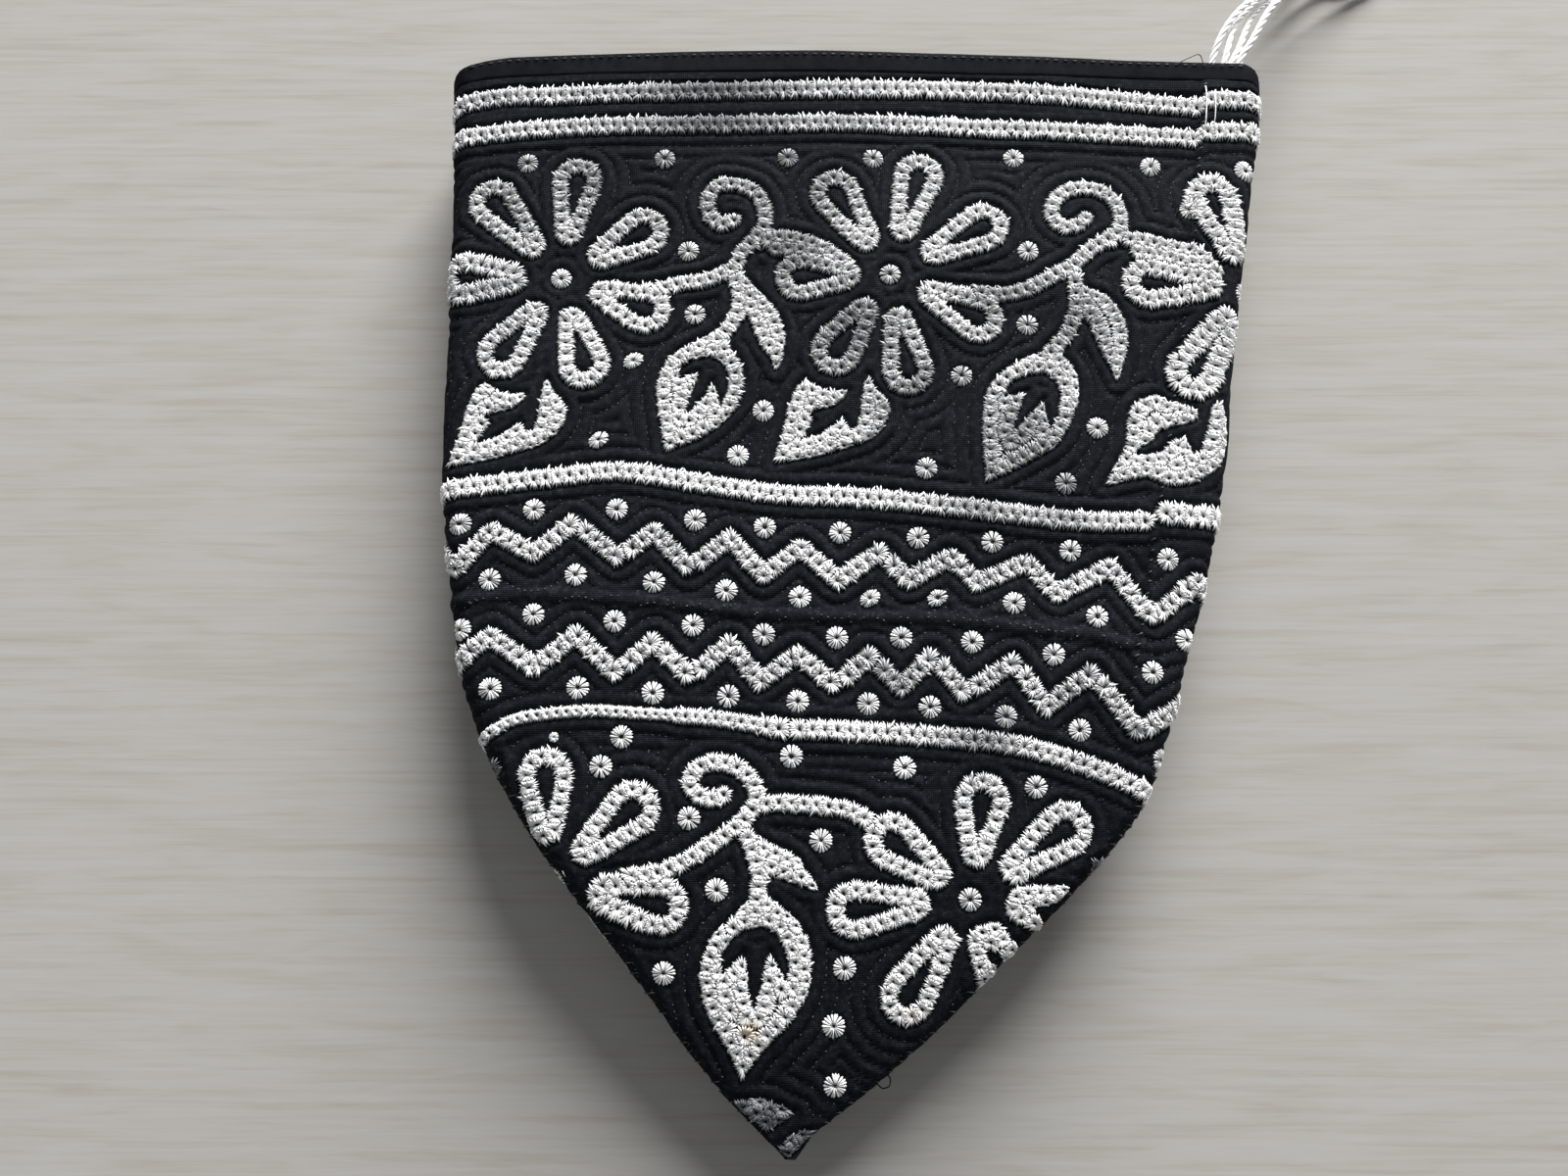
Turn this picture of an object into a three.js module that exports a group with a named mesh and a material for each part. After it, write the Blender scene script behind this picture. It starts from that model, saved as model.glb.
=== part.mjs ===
// A quilted cotton cap with four crown petals. It lies folded flat on its back panel, its sides tucked in.
// Millimetres, +Z up, +Y from the crown's tip towards the open rim. The origin is on the surface it lies on,
// under the middle of its outline.
import * as THREE from 'three';

// Cloth and folds
const WALL = 1.8; // quilted cloth, from cover to lining
const SLOT = 4.8; // hollow between a panel and the side panel folded in beside it, at the folds
const POCKET = 1.2; // gap between the two halves of a folded side panel
const CREASE_X = 4.4; // from the middle line to a side panel's inner crease, so the two sides stay apart
const CREASE_SHARE = 0.16; // in the narrow crown the crease keeps to this share of the half width
const UNDER_INSET = 0.8; // the lower folds lie this much further in than the upper ones
const LEAST_WIDTH = 15; // a narrower section than this is a squeezed copy of one this wide

// Lengths along the cap
const RIM_Y = 93.3;
const TIP_Y = -93.3;
const HOLLOW_END_Y = -83.5; // the hollow closes here, and the layers are sewn together beyond it
const BINDING_DEPTH = 5.0;
const TAPE = 0.4; // the binding's own thickness
const TAPE_PROUD = 0.2; // the tape stands this much above the cloth on each side
const CLEARANCE = 0.3; // between the binding and the cloth inside it
const LIFT_START_Y = 80; // the back rises from here to lie on the binding at the rim

// The worn rim lies this much short of a straight line, most of all at its rounded corners
const RIM_FALL_START_Y = 80;
const RIM_FALL = [
  { x: -72.75, fall: 3.8 },
  { x: -71.5, fall: 3.1 },
  { x: -69, fall: 2.6 },
  { x: -66, fall: 1.8 },
  { x: -62, fall: 1.2 },
  { x: -50, fall: 0.8 },
  { x: -17, fall: 0.3 },
  { x: 5, fall: 0.6 },
  { x: 33, fall: 1.4 },
  { x: 48, fall: 2.1 },
  { x: 69, fall: 2.3 },
  { x: 71.5, fall: 2.9 },
  { x: 72.75, fall: 3.7 },
];

// A shallow crease runs across the right half of the front panel
const DENT = { depth: 0.6, x: 34, y: -2, slope: -0.12, length: 26, width: 6 };

// Outline of the folded cap seen from above, and its thickness, one row a section.
// y: along the cap. left, right: outer edges. thick: over the folds. crown: rise of the front's middle line.
const OUTLINE = [
  { y: 93.3, left: -72.75, right: 72.75, thick: 18.0, crown: 0.9 },
  { y: 80.0, left: -72.3, right: 72.0, thick: 18.0, crown: 1.1 },
  { y: 58.0, left: -71.6, right: 68.1, thick: 18.0, crown: 1.2 },
  { y: 40.0, left: -71.2, right: 64.8, thick: 18.0, crown: 1.2 },
  { y: 18.0, left: -70.9, right: 61.6, thick: 18.0, crown: 1.2 },
  { y: 0.0, left: -68.9, right: 57.6, thick: 18.0, crown: 1.3 },
  { y: -20.0, left: -65.6, right: 51.6, thick: 17.8, crown: 1.5 },
  { y: -28.5, left: -62.5, right: 48.9, thick: 17.4, crown: 1.6 },
  { y: -36.0, left: -58.8, right: 46.2, thick: 17.0, crown: 1.6 },
  { y: -42.0, left: -55.1, right: 43.0, thick: 16.6, crown: 1.5 },
  { y: -48.0, left: -51.0, right: 37.9, thick: 16.2, crown: 1.4 },
  { y: -56.0, left: -44.8, right: 30.0, thick: 15.4, crown: 1.2 },
  { y: -65.0, left: -37.6, right: 20.4, thick: 14.2, crown: 1.0 },
  { y: -74.0, left: -30.8, right: 11.3, thick: 12.8, crown: 0.8 },
  { y: -83.0, left: -23.6, right: 0.8, thick: 11.2, crown: 0.6 },
  { y: -89.5, left: -17.2, right: -7.8, thick: 10.0, crown: 0.4 },
  { y: -93.3, left: -13.2, right: -11.2, thick: 9.4, crown: 0.2 },
];

// Places of the lofted sections between rim and tip
const SHOULDER_STEP = 0.02; // the wall thins to the binding's core over this much of its length
const BODY_STEP = 7.5;
const CROWN_START_Y = -20;
const CROWN_STEP = 5.2;
const SEWN_TIP_PLACES = [-87, -90]; // past the hollow's end

// Points round one section's half, by stretch
const FRONT_STEPS = 9;
const FOLD_STEPS = 6;
const SIDE_STEPS = 3;
const CREASE_STEPS = 4;
const BACK_STEPS = 3;

// Two loops of cotton string, sewn in inside the mouth near its right corner
const STRING_DIAMETER = 1.3;
const STRING_SIDES = 8; // an arc is drawn with two sides a segment
const STRING_STEP = 3.2;
const STRING_ROUTES = {
  rim_string_a: [
    [63.4, 84.0, 13.8], [63.8, 90.0, 13.9], [64.9, 94.2, 14.4], [66.2, 97.6, 14.8], [68.0, 100.8, 15.0],
    [70.4, 103.9, 14.8], [73.5, 107.1, 14.0], [76.8, 111.0, 12.4], [80.2, 115.2, 9.8], [83.6, 119.4, 6.6],
    [87.2, 123.6, 3.6], [91.0, 127.6, 1.4], [95.0, 130.8, 0.75], [99.6, 131.8, 0.75], [103.6, 129.6, 0.75],
    [105.4, 125.2, 0.75], [103.8, 120.9, 0.75], [99.8, 118.5, 1.1], [94.8, 117.4, 2.8], [89.8, 115.8, 5.6],
    [85.2, 113.4, 8.8], [81.4, 110.6, 11.5], [78.3, 107.3, 13.2], [75.7, 103.7, 13.9], [73.8, 100.4, 14.2],
    [72.2, 97.6, 14.3], [70.6, 95.2, 14.2], [69.6, 92.6, 13.9], [69.1, 88.5, 13.8], [69.1, 84.0, 13.8],
  ],
  rim_string_b: [
    [65.4, 84.0, 13.8], [65.8, 89.5, 13.9], [67.1, 93.8, 14.1], [68.2, 97.4, 14.0], [69.4, 100.8, 13.5],
    [71.6, 104.3, 12.7], [74.8, 108.0, 11.3], [78.4, 111.8, 9.2], [82.2, 115.6, 6.4], [86.0, 119.4, 3.6],
    [89.8, 123.0, 1.4], [93.2, 124.9, 0.75], [96.1, 125.8, 0.75], [98.5, 125.5, 0.75], [100.1, 123.9, 0.75],
    [100.1, 121.6, 0.75], [98.5, 120.0, 0.75], [96.1, 119.6, 0.75], [93.0, 119.4, 0.95], [89.4, 118.2, 1.9],
    [84.8, 115.6, 4.0], [80.4, 112.4, 6.8], [76.6, 108.6, 9.4], [73.8, 104.9, 11.0], [72.0, 101.0, 12.2],
    [70.6, 97.6, 12.7], [68.8, 94.2, 13.0], [67.6, 90.0, 13.4], [67.3, 84.0, 13.6],
  ],
};

const blackCloth = new THREE.MeshStandardMaterial({ color: 0x1a1b20, roughness: 0.85, metalness: 0 });
const blackTape = new THREE.MeshStandardMaterial({ color: 0x121318, roughness: 0.8, metalness: 0 });
const whiteString = new THREE.MeshStandardMaterial({ color: 0xe9e8e4, roughness: 0.9, metalness: 0 });

// One column of the outline at any y, on a smooth curve through the rows
function outlineAt(column, y) {
  const last = OUTLINE.length - 1;
  let row = 0;
  while (row < last - 1 && y < OUTLINE[row + 1].y) row += 1;
  const slopeAt = (i) => {
    const above = OUTLINE[Math.max(i - 1, 0)];
    const below = OUTLINE[Math.min(i + 1, last)];
    return (below[column] - above[column]) / (below.y - above.y);
  };
  const start = OUTLINE[row];
  const end = OUTLINE[row + 1];
  const span = end.y - start.y;
  const t = (y - start.y) / span;
  const rise = t * t * (3 - 2 * t);
  return start[column] + (end[column] - start[column]) * rise
    + slopeAt(row) * span * t * (1 - t) * (1 - t)
    - slopeAt(row + 1) * span * t * t * (1 - t);
}

function dentAt(x, y) {
  const middle = DENT.y + DENT.slope * (x - DENT.x);
  const along = (x - DENT.x) / DENT.length;
  const across = (y - middle) / DENT.width;
  return -DENT.depth * Math.exp(-along * along - across * across);
}

// How far a point near the rim lies back from its place on a straight rim
function rimFallAt(x, y) {
  const last = RIM_FALL.length - 1;
  const place = THREE.MathUtils.clamp(x, RIM_FALL[0].x, RIM_FALL[last].x);
  let row = 0;
  while (row < last - 1 && place > RIM_FALL[row + 1].x) row += 1;
  const start = RIM_FALL[row];
  const end = RIM_FALL[row + 1];
  const fall = THREE.MathUtils.mapLinear(place, start.x, end.x, start.fall, end.fall);
  return fall * Math.max(0, (y - RIM_FALL_START_Y) / (RIM_Y - RIM_FALL_START_Y));
}

// The middle line of the folded wall at y, as points with an outward direction, from the front's middle
// round the right side to the back's middle, then round the left side home.
function sectionAt(y) {
  const left = outlineAt('left', y);
  const right = outlineAt('right', y);
  const thick = outlineAt('thick', y);
  const crown = outlineAt('crown', y);
  const middleX = (left + right) / 2;
  const width = Math.max(right - left, LEAST_WIDTH);
  const squeeze = (right - left) / width;
  const reach = width / 2 - WALL / 2;

  const full = 4 * WALL + 2 * SLOT + POCKET;
  const spare = (thick - 4 * WALL) / (full - 4 * WALL);
  const foldRadius = (WALL + SLOT * spare) / 2;
  const creaseRadius = (WALL + POCKET * spare) / 2;
  const creaseX = Math.min(CREASE_X, CREASE_SHARE * reach);
  const backZ = WALL / 2 + TAPE_PROUD * THREE.MathUtils.smoothstep(y, LIFT_START_Y, RIM_Y - BINDING_DEPTH);
  const lowerZ = backZ + 2 * foldRadius;
  const upperZ = lowerZ + 2 * creaseRadius;
  const frontZ = upperZ + 2 * foldRadius;

  const half = [];
  const add = (x, z, nx, nz) => half.push({ x, z, nx, nz });
  const upperTurnX = reach - foldRadius;
  const lowerTurnX = upperTurnX - UNDER_INSET * squeeze;
  for (let i = 0; i < FRONT_STEPS; i += 1) {
    add(upperTurnX * i / FRONT_STEPS, frontZ, 0, 1);
  }
  for (let i = 0; i <= FOLD_STEPS; i += 1) {
    const turn = Math.PI / 2 - Math.PI * i / FOLD_STEPS;
    const nx = Math.cos(turn);
    const nz = Math.sin(turn);
    add(upperTurnX + foldRadius * nx, (frontZ + upperZ) / 2 + foldRadius * nz, nx, nz);
  }
  const creaseCentreX = creaseX + creaseRadius;
  for (let i = 1; i < SIDE_STEPS; i += 1) {
    add(upperTurnX + (creaseCentreX - upperTurnX) * i / SIDE_STEPS, upperZ, 0, -1);
  }
  for (let i = 0; i <= CREASE_STEPS; i += 1) {
    const turn = Math.PI / 2 + Math.PI * i / CREASE_STEPS;
    const nx = Math.cos(turn);
    const nz = Math.sin(turn);
    add(creaseCentreX + creaseRadius * nx, (upperZ + lowerZ) / 2 + creaseRadius * nz, -nx, -nz);
  }
  for (let i = 1; i < SIDE_STEPS; i += 1) {
    add(creaseCentreX + (lowerTurnX - creaseCentreX) * i / SIDE_STEPS, lowerZ, 0, 1);
  }
  for (let i = 0; i <= FOLD_STEPS; i += 1) {
    const turn = Math.PI / 2 - Math.PI * i / FOLD_STEPS;
    const nx = Math.cos(turn);
    const nz = Math.sin(turn);
    add(lowerTurnX + foldRadius * nx, (lowerZ + backZ) / 2 + foldRadius * nz, nx, nz);
  }
  for (let i = 1; i <= BACK_STEPS; i += 1) {
    add(lowerTurnX * (1 - i / BACK_STEPS), backZ, 0, -1);
  }

  const other = half.slice(1, -1).reverse().map((p) => ({ x: -p.x, z: p.z, nx: -p.nx, nz: p.nz }));
  const frontFrom = upperZ + foldRadius;
  return half.concat(other).map((p) => {
    const x = middleX + p.x * squeeze;
    const inFront = Math.min(Math.max((p.z - frontFrom) / foldRadius, 0), 1);
    const rise = crown * (1 - (p.x / reach) ** 2) + dentAt(x, y);
    return { x, z: p.z + inFront * rise, nx: p.nx * squeeze, nz: p.nz };
  });
}

// The section's points moved out from the middle line by a distance, or in by a negative one
function loopAt(y, distance) {
  return sectionAt(y).map((p) => {
    const x = p.x + p.nx * distance;
    return new THREE.Vector3(x, y - rimFallAt(x, y), p.z + p.nz * distance);
  });
}

// A closed body from loops of equal length, swept in order; a flat lid closes each open end
function meshFromLoops(loops, closedRing) {
  const count = loops[0].length;
  const positions = [];
  loops.forEach((loop) => loop.forEach((p) => positions.push(p.x, p.y, p.z)));
  const faces = [];
  const rounds = closedRing ? loops.length : loops.length - 1;
  for (let i = 0; i < rounds; i += 1) {
    const here = i * count;
    const next = ((i + 1) % loops.length) * count;
    for (let j = 0; j < count; j += 1) {
      const k = (j + 1) % count;
      faces.push(here + j, next + k, here + k);
      faces.push(here + j, next + j, next + k);
    }
  }
  if (!closedRing) {
    const lid = (loop, offset, flip) => {
      const flat = loop.map((p) => new THREE.Vector2(p.x, p.z));
      THREE.ShapeUtils.triangulateShape(flat, []).forEach(([a, b, c]) => {
        faces.push(offset + a, offset + (flip ? b : c), offset + (flip ? c : b));
      });
    };
    lid(loops[0], 0, false);
    lid(loops[loops.length - 1], (loops.length - 1) * count, true);
  }
  const geometry = new THREE.BufferGeometry();
  geometry.setAttribute('position', new THREE.Float32BufferAttribute(positions, 3));
  geometry.setIndex(faces);
  geometry.computeVertexNormals();
  return geometry;
}

// Section places from one y down to another, evenly spaced by at most a step
function placesBetween(from, to, step) {
  const count = Math.ceil((from - to) / step);
  return Array.from({ length: count }, (_, i) => from - (from - to) * i / count);
}

// The quilted wall: its hollow's lid, up the inside, over the thinned edge that the binding covers,
// and down the outside to the tip
function makeShell() {
  const shoulderY = RIM_Y - BINDING_DEPTH - CLEARANCE;
  const edgeY = RIM_Y - TAPE - CLEARANCE;
  const edgeHalf = WALL / 2 + TAPE_PROUD - TAPE - CLEARANCE;
  const down = placesBetween(shoulderY, CROWN_START_Y, BODY_STEP)
    .concat(placesBetween(CROWN_START_Y, HOLLOW_END_Y, CROWN_STEP));
  const inside = [...down, HOLLOW_END_Y].reverse().map((y) => loopAt(y, -WALL / 2));
  const edge = [
    loopAt(shoulderY + SHOULDER_STEP, -edgeHalf),
    loopAt(edgeY, -edgeHalf),
    loopAt(edgeY, edgeHalf),
    loopAt(shoulderY + SHOULDER_STEP, edgeHalf),
  ];
  const outside = [...down, HOLLOW_END_Y, ...SEWN_TIP_PLACES, TIP_Y].map((y) => loopAt(y, WALL / 2));
  return meshFromLoops([...inside, ...edge, ...outside], false);
}

// The tape folded over the rim: an outer leg, its fold and an inner leg
function makeBinding() {
  const hem = RIM_Y - BINDING_DEPTH;
  const bottom = RIM_Y - TAPE;
  const outer = WALL / 2 + TAPE_PROUD;
  const inner = outer - TAPE;
  const profile = [
    [-outer, hem], [-outer, RIM_Y], [outer, RIM_Y], [outer, hem],
    [inner, hem], [inner, bottom], [-inner, bottom], [-inner, hem],
  ];
  return meshFromLoops(profile.map(([distance, y]) => loopAt(y, distance)), true);
}

function makeString(points) {
  const path = new THREE.CatmullRomCurve3(points.map((p) => new THREE.Vector3(...p)));
  const ring = new THREE.Shape();
  ring.absarc(0, 0, STRING_DIAMETER / 2, 0, 2 * Math.PI, false);
  return new THREE.ExtrudeGeometry(ring, {
    steps: Math.round(path.getLength() / STRING_STEP),
    curveSegments: STRING_SIDES / 2,
    extrudePath: path,
    bevelEnabled: false,
  });
}

function named(name, geometry, material) {
  const mesh = new THREE.Mesh(geometry, material);
  mesh.name = name;
  return mesh;
}

const cap = new THREE.Group();
cap.add(named('quilted_shell', makeShell(), blackCloth));
cap.add(named('rim_binding', makeBinding(), blackTape));
Object.entries(STRING_ROUTES).forEach(([name, points]) => {
  cap.add(named(name, makeString(points), whiteString));
});

export default cap;
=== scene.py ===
"""A quilted cotton cap, folded flat: quilting, white eyelet embroidery, rim tape and strings."""

import math

import bpy
import numpy as np
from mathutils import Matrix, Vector


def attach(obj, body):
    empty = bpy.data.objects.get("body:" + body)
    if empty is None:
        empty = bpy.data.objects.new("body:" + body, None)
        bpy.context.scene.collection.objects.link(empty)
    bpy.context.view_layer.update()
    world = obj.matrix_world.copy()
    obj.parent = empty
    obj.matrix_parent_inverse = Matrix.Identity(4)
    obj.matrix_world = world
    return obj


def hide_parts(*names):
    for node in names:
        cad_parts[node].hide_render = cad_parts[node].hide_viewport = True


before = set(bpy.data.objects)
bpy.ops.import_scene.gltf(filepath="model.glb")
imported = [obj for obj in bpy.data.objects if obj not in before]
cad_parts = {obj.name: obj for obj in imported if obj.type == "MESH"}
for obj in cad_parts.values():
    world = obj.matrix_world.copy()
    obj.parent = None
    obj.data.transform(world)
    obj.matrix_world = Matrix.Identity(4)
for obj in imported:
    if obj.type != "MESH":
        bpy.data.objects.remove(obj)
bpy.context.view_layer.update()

# Sizes are in millimetres here, and in metres once they reach a mesh
MM = 0.001

# The folded wall, from the construction
WALL = 1.8
SLOT = 4.8
POCKET = 1.2
CREASE_X = 4.4
CREASE_SHARE = 0.16
UNDER_INSET = 0.8
LEAST_WIDTH = 15.0  # where the crown is narrower, the wall is squeezed to fit
RIM_Y = 93.3
TIP_Y = -93.3
CLOTH_TOP_Y = RIM_Y - 1.0  # the cloth ends here, inside the tape
BINDING_DEPTH = 5.0
TAPE_PROUD = 0.2
TAPE_THICKNESS = 0.4
LIFT_START_Y = 80.0
RIM_FALL_START_Y = 80.0
# The worn rim: x, and how far the rim there lies short of a straight line
RIM_FALL = np.array([
    (-72.75, 3.8), (-71.5, 3.1), (-69, 2.6), (-66, 1.8), (-62, 1.2), (-50, 0.8), (-17, 0.3), (5, 0.6),
    (33, 1.4), (48, 2.1), (69, 2.3), (71.5, 2.9), (72.75, 3.7),
])
DENT = {"depth": 0.6, "x": 34.0, "y": -2.0, "slope": -0.12, "length": 26.0, "width": 6.0}
OUTLINE_COLUMNS = ("y", "left", "right", "thick", "crown")
OUTLINE = np.array([
    (93.3, -72.75, 72.75, 18.0, 0.9),
    (80.0, -72.3, 72.0, 18.0, 1.1),
    (58.0, -71.6, 68.1, 18.0, 1.2),
    (40.0, -71.2, 64.8, 18.0, 1.2),
    (18.0, -70.9, 61.6, 18.0, 1.2),
    (0.0, -68.9, 57.6, 18.0, 1.3),
    (-20.0, -65.6, 51.6, 17.8, 1.5),
    (-28.5, -62.5, 48.9, 17.4, 1.6),
    (-36.0, -58.8, 46.2, 17.0, 1.6),
    (-42.0, -55.1, 43.0, 16.6, 1.5),
    (-48.0, -51.0, 37.9, 16.2, 1.4),
    (-56.0, -44.8, 30.0, 15.4, 1.2),
    (-65.0, -37.6, 20.4, 14.2, 1.0),
    (-74.0, -30.8, 11.3, 12.8, 0.8),
    (-83.0, -23.6, 0.8, 11.2, 0.6),
    (-89.5, -17.2, -7.8, 10.0, 0.4),
    (-93.3, -13.2, -11.2, 9.4, 0.2),
])

# Camera, standing over the cap and tilted towards its tip
LENS_MM = 27.72
SENSOR_MM = 36.0
LOOK_AT = (-13.15, -4.65, 16.0)
CAMERA_DISTANCE = 198.0
CAMERA_TILT_DEG = 12.0

# Light: direction from the cap, distance and size in metres, power in watts, and colour
LIGHTS = {
    "window": ((0.21, 0.84, 0.35), 2.8, 1.8, 282.0, (1.0, 0.99, 0.98)),
    "fill": ((-0.2, -0.5, 0.85), 1.6, 1.0, 1.5, (0.97, 0.98, 1.0)),
}
ROOM_COLOUR = (0.96, 0.98, 1.0, 1)
ROOM_STRENGTH = 0.28
FLOOR_HALF = 3.0  # metres
GRAIN_SCALES = ((40, 330, 1), (24, 900, 1))

# The two loops of string at the rim's right corner
STRING_DIAMETER = 1.3
STRING_STEP = 0.5
PLIES = 4
PLY_RADIUS = 0.24 * STRING_DIAMETER
TWIST_LENGTH = 8.0
TUBE_SIDES = 6
STRING_ROUTES = {
    "rim_string_a": [
        (63.4, 84.0, 13.8), (63.8, 90.0, 13.9), (64.9, 94.2, 14.4), (66.2, 97.6, 14.8),
        (68.0, 100.8, 15.0), (70.4, 103.9, 14.8), (73.5, 107.1, 14.0), (76.8, 111.0, 12.4),
        (80.2, 115.2, 9.8), (83.6, 119.4, 6.6), (87.2, 123.6, 3.6), (91.0, 127.6, 1.4),
        (95.0, 130.8, 0.75), (99.6, 131.8, 0.75), (103.6, 129.6, 0.75), (105.4, 125.2, 0.75),
        (103.8, 120.9, 0.75), (99.8, 118.5, 1.1), (94.8, 117.4, 2.8), (89.8, 115.8, 5.6),
        (85.2, 113.4, 8.8), (81.4, 110.6, 11.5), (78.3, 107.3, 13.2), (75.7, 103.7, 13.9),
        (73.8, 100.4, 14.2), (72.2, 97.6, 14.3), (70.6, 95.2, 14.2), (69.6, 92.6, 13.9),
        (69.1, 88.5, 13.8), (69.1, 84.0, 13.8),
    ],
    "rim_string_b": [
        (65.4, 84.0, 13.8), (65.8, 89.5, 13.9), (67.1, 93.8, 14.1), (68.2, 97.4, 14.0),
        (69.4, 100.8, 13.5), (71.6, 104.3, 12.7), (74.8, 108.0, 11.3), (78.4, 111.8, 9.2),
        (82.2, 115.6, 6.4), (86.0, 119.4, 3.6), (89.8, 123.0, 1.4), (93.2, 124.9, 0.75),
        (96.1, 125.8, 0.75), (98.5, 125.5, 0.75), (100.1, 123.9, 0.75), (100.1, 121.6, 0.75),
        (98.5, 120.0, 0.75), (96.1, 119.6, 0.75), (93.0, 119.4, 0.95), (89.4, 118.2, 1.9),
        (84.8, 115.6, 4.0), (80.4, 112.4, 6.8), (76.6, 108.6, 9.4), (73.8, 104.9, 11.0),
        (72.0, 101.0, 12.2), (70.6, 97.6, 12.7), (68.8, 94.2, 13.0), (67.6, 90.0, 13.4),
        (67.3, 84.0, 13.6),
    ],
}

# Cloth grids
FINE_STEP = 0.5
COARSE_STEP = 1.3
BACK_STEP = 0.9
TAPE_STEP = 0.9
POCKET_STEP = 1.2
SIDE_STEPS = (2.5, 1.0, 2.5)
BACK_STEPS = (2.0, BACK_STEP, BACK_STEP)
NUDGE = 0.2  # the step that finds which way a surface faces
POCKET_REACH = 10.0  # the fine cloth goes on this far into the folded sides
BAND_END_Y = -28.0  # the band's pieces end here and the crown's begin
LINING_SHARE = 4  # the lining's grid is this much coarser

# Pattern field
FIELD_STEP = 0.25
FIELD_X = 92.0
FIELD_Y = 96.0
FIELD_REACH = 10.0

# Quilting relief, heights above the grooves
GROOVE_OFF = 0.5  # the grooves lie this far out from the wall's middle
QUILTING_GAP = 0.1  # between a shape's edge and the padded cord round it
PAD_WIDTH = 2.2
PAD_HEIGHT = 0.52
RIBS_FROM = PAD_WIDTH + QUILTING_GAP
RIB_PITCH = 2.3
RIB_HEIGHT = 0.42
RIDGE_HALF = 1.5
RIDGE_HEIGHT = 0.75
CORD_ROUNDNESS = 0.8  # less than one makes a cord's sides steeper
PLAIN_ROW_HEIGHT = 0.2
RIM_BAND_HEIGHT = 0.62
UNDER_TAPE_HEIGHT = 0.1
MOTIF_HEIGHT = 0.42
LAP_RISE = 0.45
LAP_DIP = 0.25
LAP_LOST_AT_RIM = 0.7
REST_HEIGHT = 0.3  # below this height the underside is pressed flat

# Unevenness: height, width of the lumps and seed of each layer
RUMPLES = [(0.9, 31.0, 11), (0.5, 13.0, 12)]
PUCKERS = [(0.09, 1.6, 4), (0.05, 0.8, 5)]
LINING_LUMPS = [(0.12, 3.0, 21)]
PLAIN_LUMPS = [(0.1, 5, 8)]
STRING_LUMPS = [(0.2, 0.9, 31)]

# Embroidery
PETAL_STROKE = 1.52
VINE_STROKE = 1.48
EYELET_PITCH = 1.97
LEAST_EYELET_PITCH = 1.55
THIN_HALF = 1.2  # narrower strokes have their eyelets closer together
THIN_PITCH_SHARE = 0.8
EYELET_REACH = 2.2
OUT_OF_REACH = 99.0
FRINGE_REACH = 0.17  # the threads reach this far past a shape's charted edge
FRINGE = 0.19  # how unevenly the threads end at a shape's edge
TAPER = 0.4  # the share of an edge thread that narrows to its end
DULLEST = 0.42  # shade of the greyest thread
HOLE_SHADE = 0.75  # painted shade: each thread is darker by this factor in its eyelet's hole
SHADE_AND_WEAR_LOSS = 0.95  # the share of its shade that a thread loses where painted shade and wear are strongest
EDGE_FILL = 0.9  # the share of its room that a thread takes up at a shape's edge, and inside a shape
INNER_FILL = 1.2
INNER_OVERLAP = 0.2  # threads inside a shape run on under their neighbours
THREADS = 23  # threads round one eyelet
FILL_DEPTHS = (1.2, 3.4, 5.6, 7.8, 0.5)  # rows of eyelets inside a filled shape, then its tips
DOT_RADIUS = 1.75
SMALL_DOT_RADIUS = DOT_RADIUS * 0.4
HOLE_RADIUS = (0.02, 0.15)
HOLE_UNEVENNESS = (0.6, 1.4)
LEAST_THREAD = 0.3
THREAD_HALF_WIDTH = (0.08, 0.22)
THREAD_ROOF = 0.17
THREAD_JITTER = 0.06
EYELET_SWIRL = 0.1  # how far the threads of one eyelet lean to one side
# The groups, each with its random seed and with what differs in it from the usual values above
EMBROIDERY = {
    "stripes": {"seed": 100, "fringe": 0.1},
    "flowers": {"seed": 101, "dullest": 0.34},
    "zigzags": {"seed": 102, "dullest": 0.12},
    "crown": {"seed": 103},
    "dots": {"seed": 104, "threads": 20, "fringe": 0.06, "taper": 0.16, "fill": 0.88, "dullest": 0.22},
}
BACK_EMBROIDERY = {"seed": 110, "threads": 10}
# A thread's stations as shares of its length, and its heights there inside a shape and at a shape's edge
THREAD_SHAPES = {
    "front": {
        "stations": (0.0, 0.3, 0.74, 1.0),
        "inside": (-0.1, 0.08, 0.38, 0.32),
        "at_edge": (-0.1, 0.08, 0.27, -0.1),
    },
    "back": {
        "stations": (0.0, 0.75, 1.0),
        "inside": (0.0, 0.34, 0.26),
        "at_edge": (0.0, 0.2, -0.1),
    },
}

# The front's pattern, charted on the panel: x to the right and y towards the rim
STRIPES = {
    "rim_stripe": (1.8, [
        (-86, 80), (-71, 82.5), (-63, 84), (-55, 84), (-30, 84.5), (4, 85), (28, 84.5), (53, 82.5),
        (60, 82),
    ]),
    "rim_stripe_side": (1.8, [(62.5, 83.2), (72, 83.4), (86, 83.4)]),
    "second_stripe": (1.8, [
        (-86, 74), (-70.5, 76), (-55, 77.5), (-30, 78), (4, 78.3), (27.5, 77.3), (59, 76),
    ]),
    "second_stripe_side": (1.8, [(61.5, 77), (72, 77.3), (86, 77.3)]),
    "middle_stripe": (1.74, [
        (-86, 9.5), (-69, 11.5), (-54, 13.2), (-41, 14.6), (-32.5, 13.4), (-15, 10.6), (-3.5, 10.2),
        (10.5, 8.8), (34, 6.2), (46, 6),
    ]),
    "middle_stripe_side": (1.95, [(49.5, 7.2), (58, 6.8), (76, 6)]),
}
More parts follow.
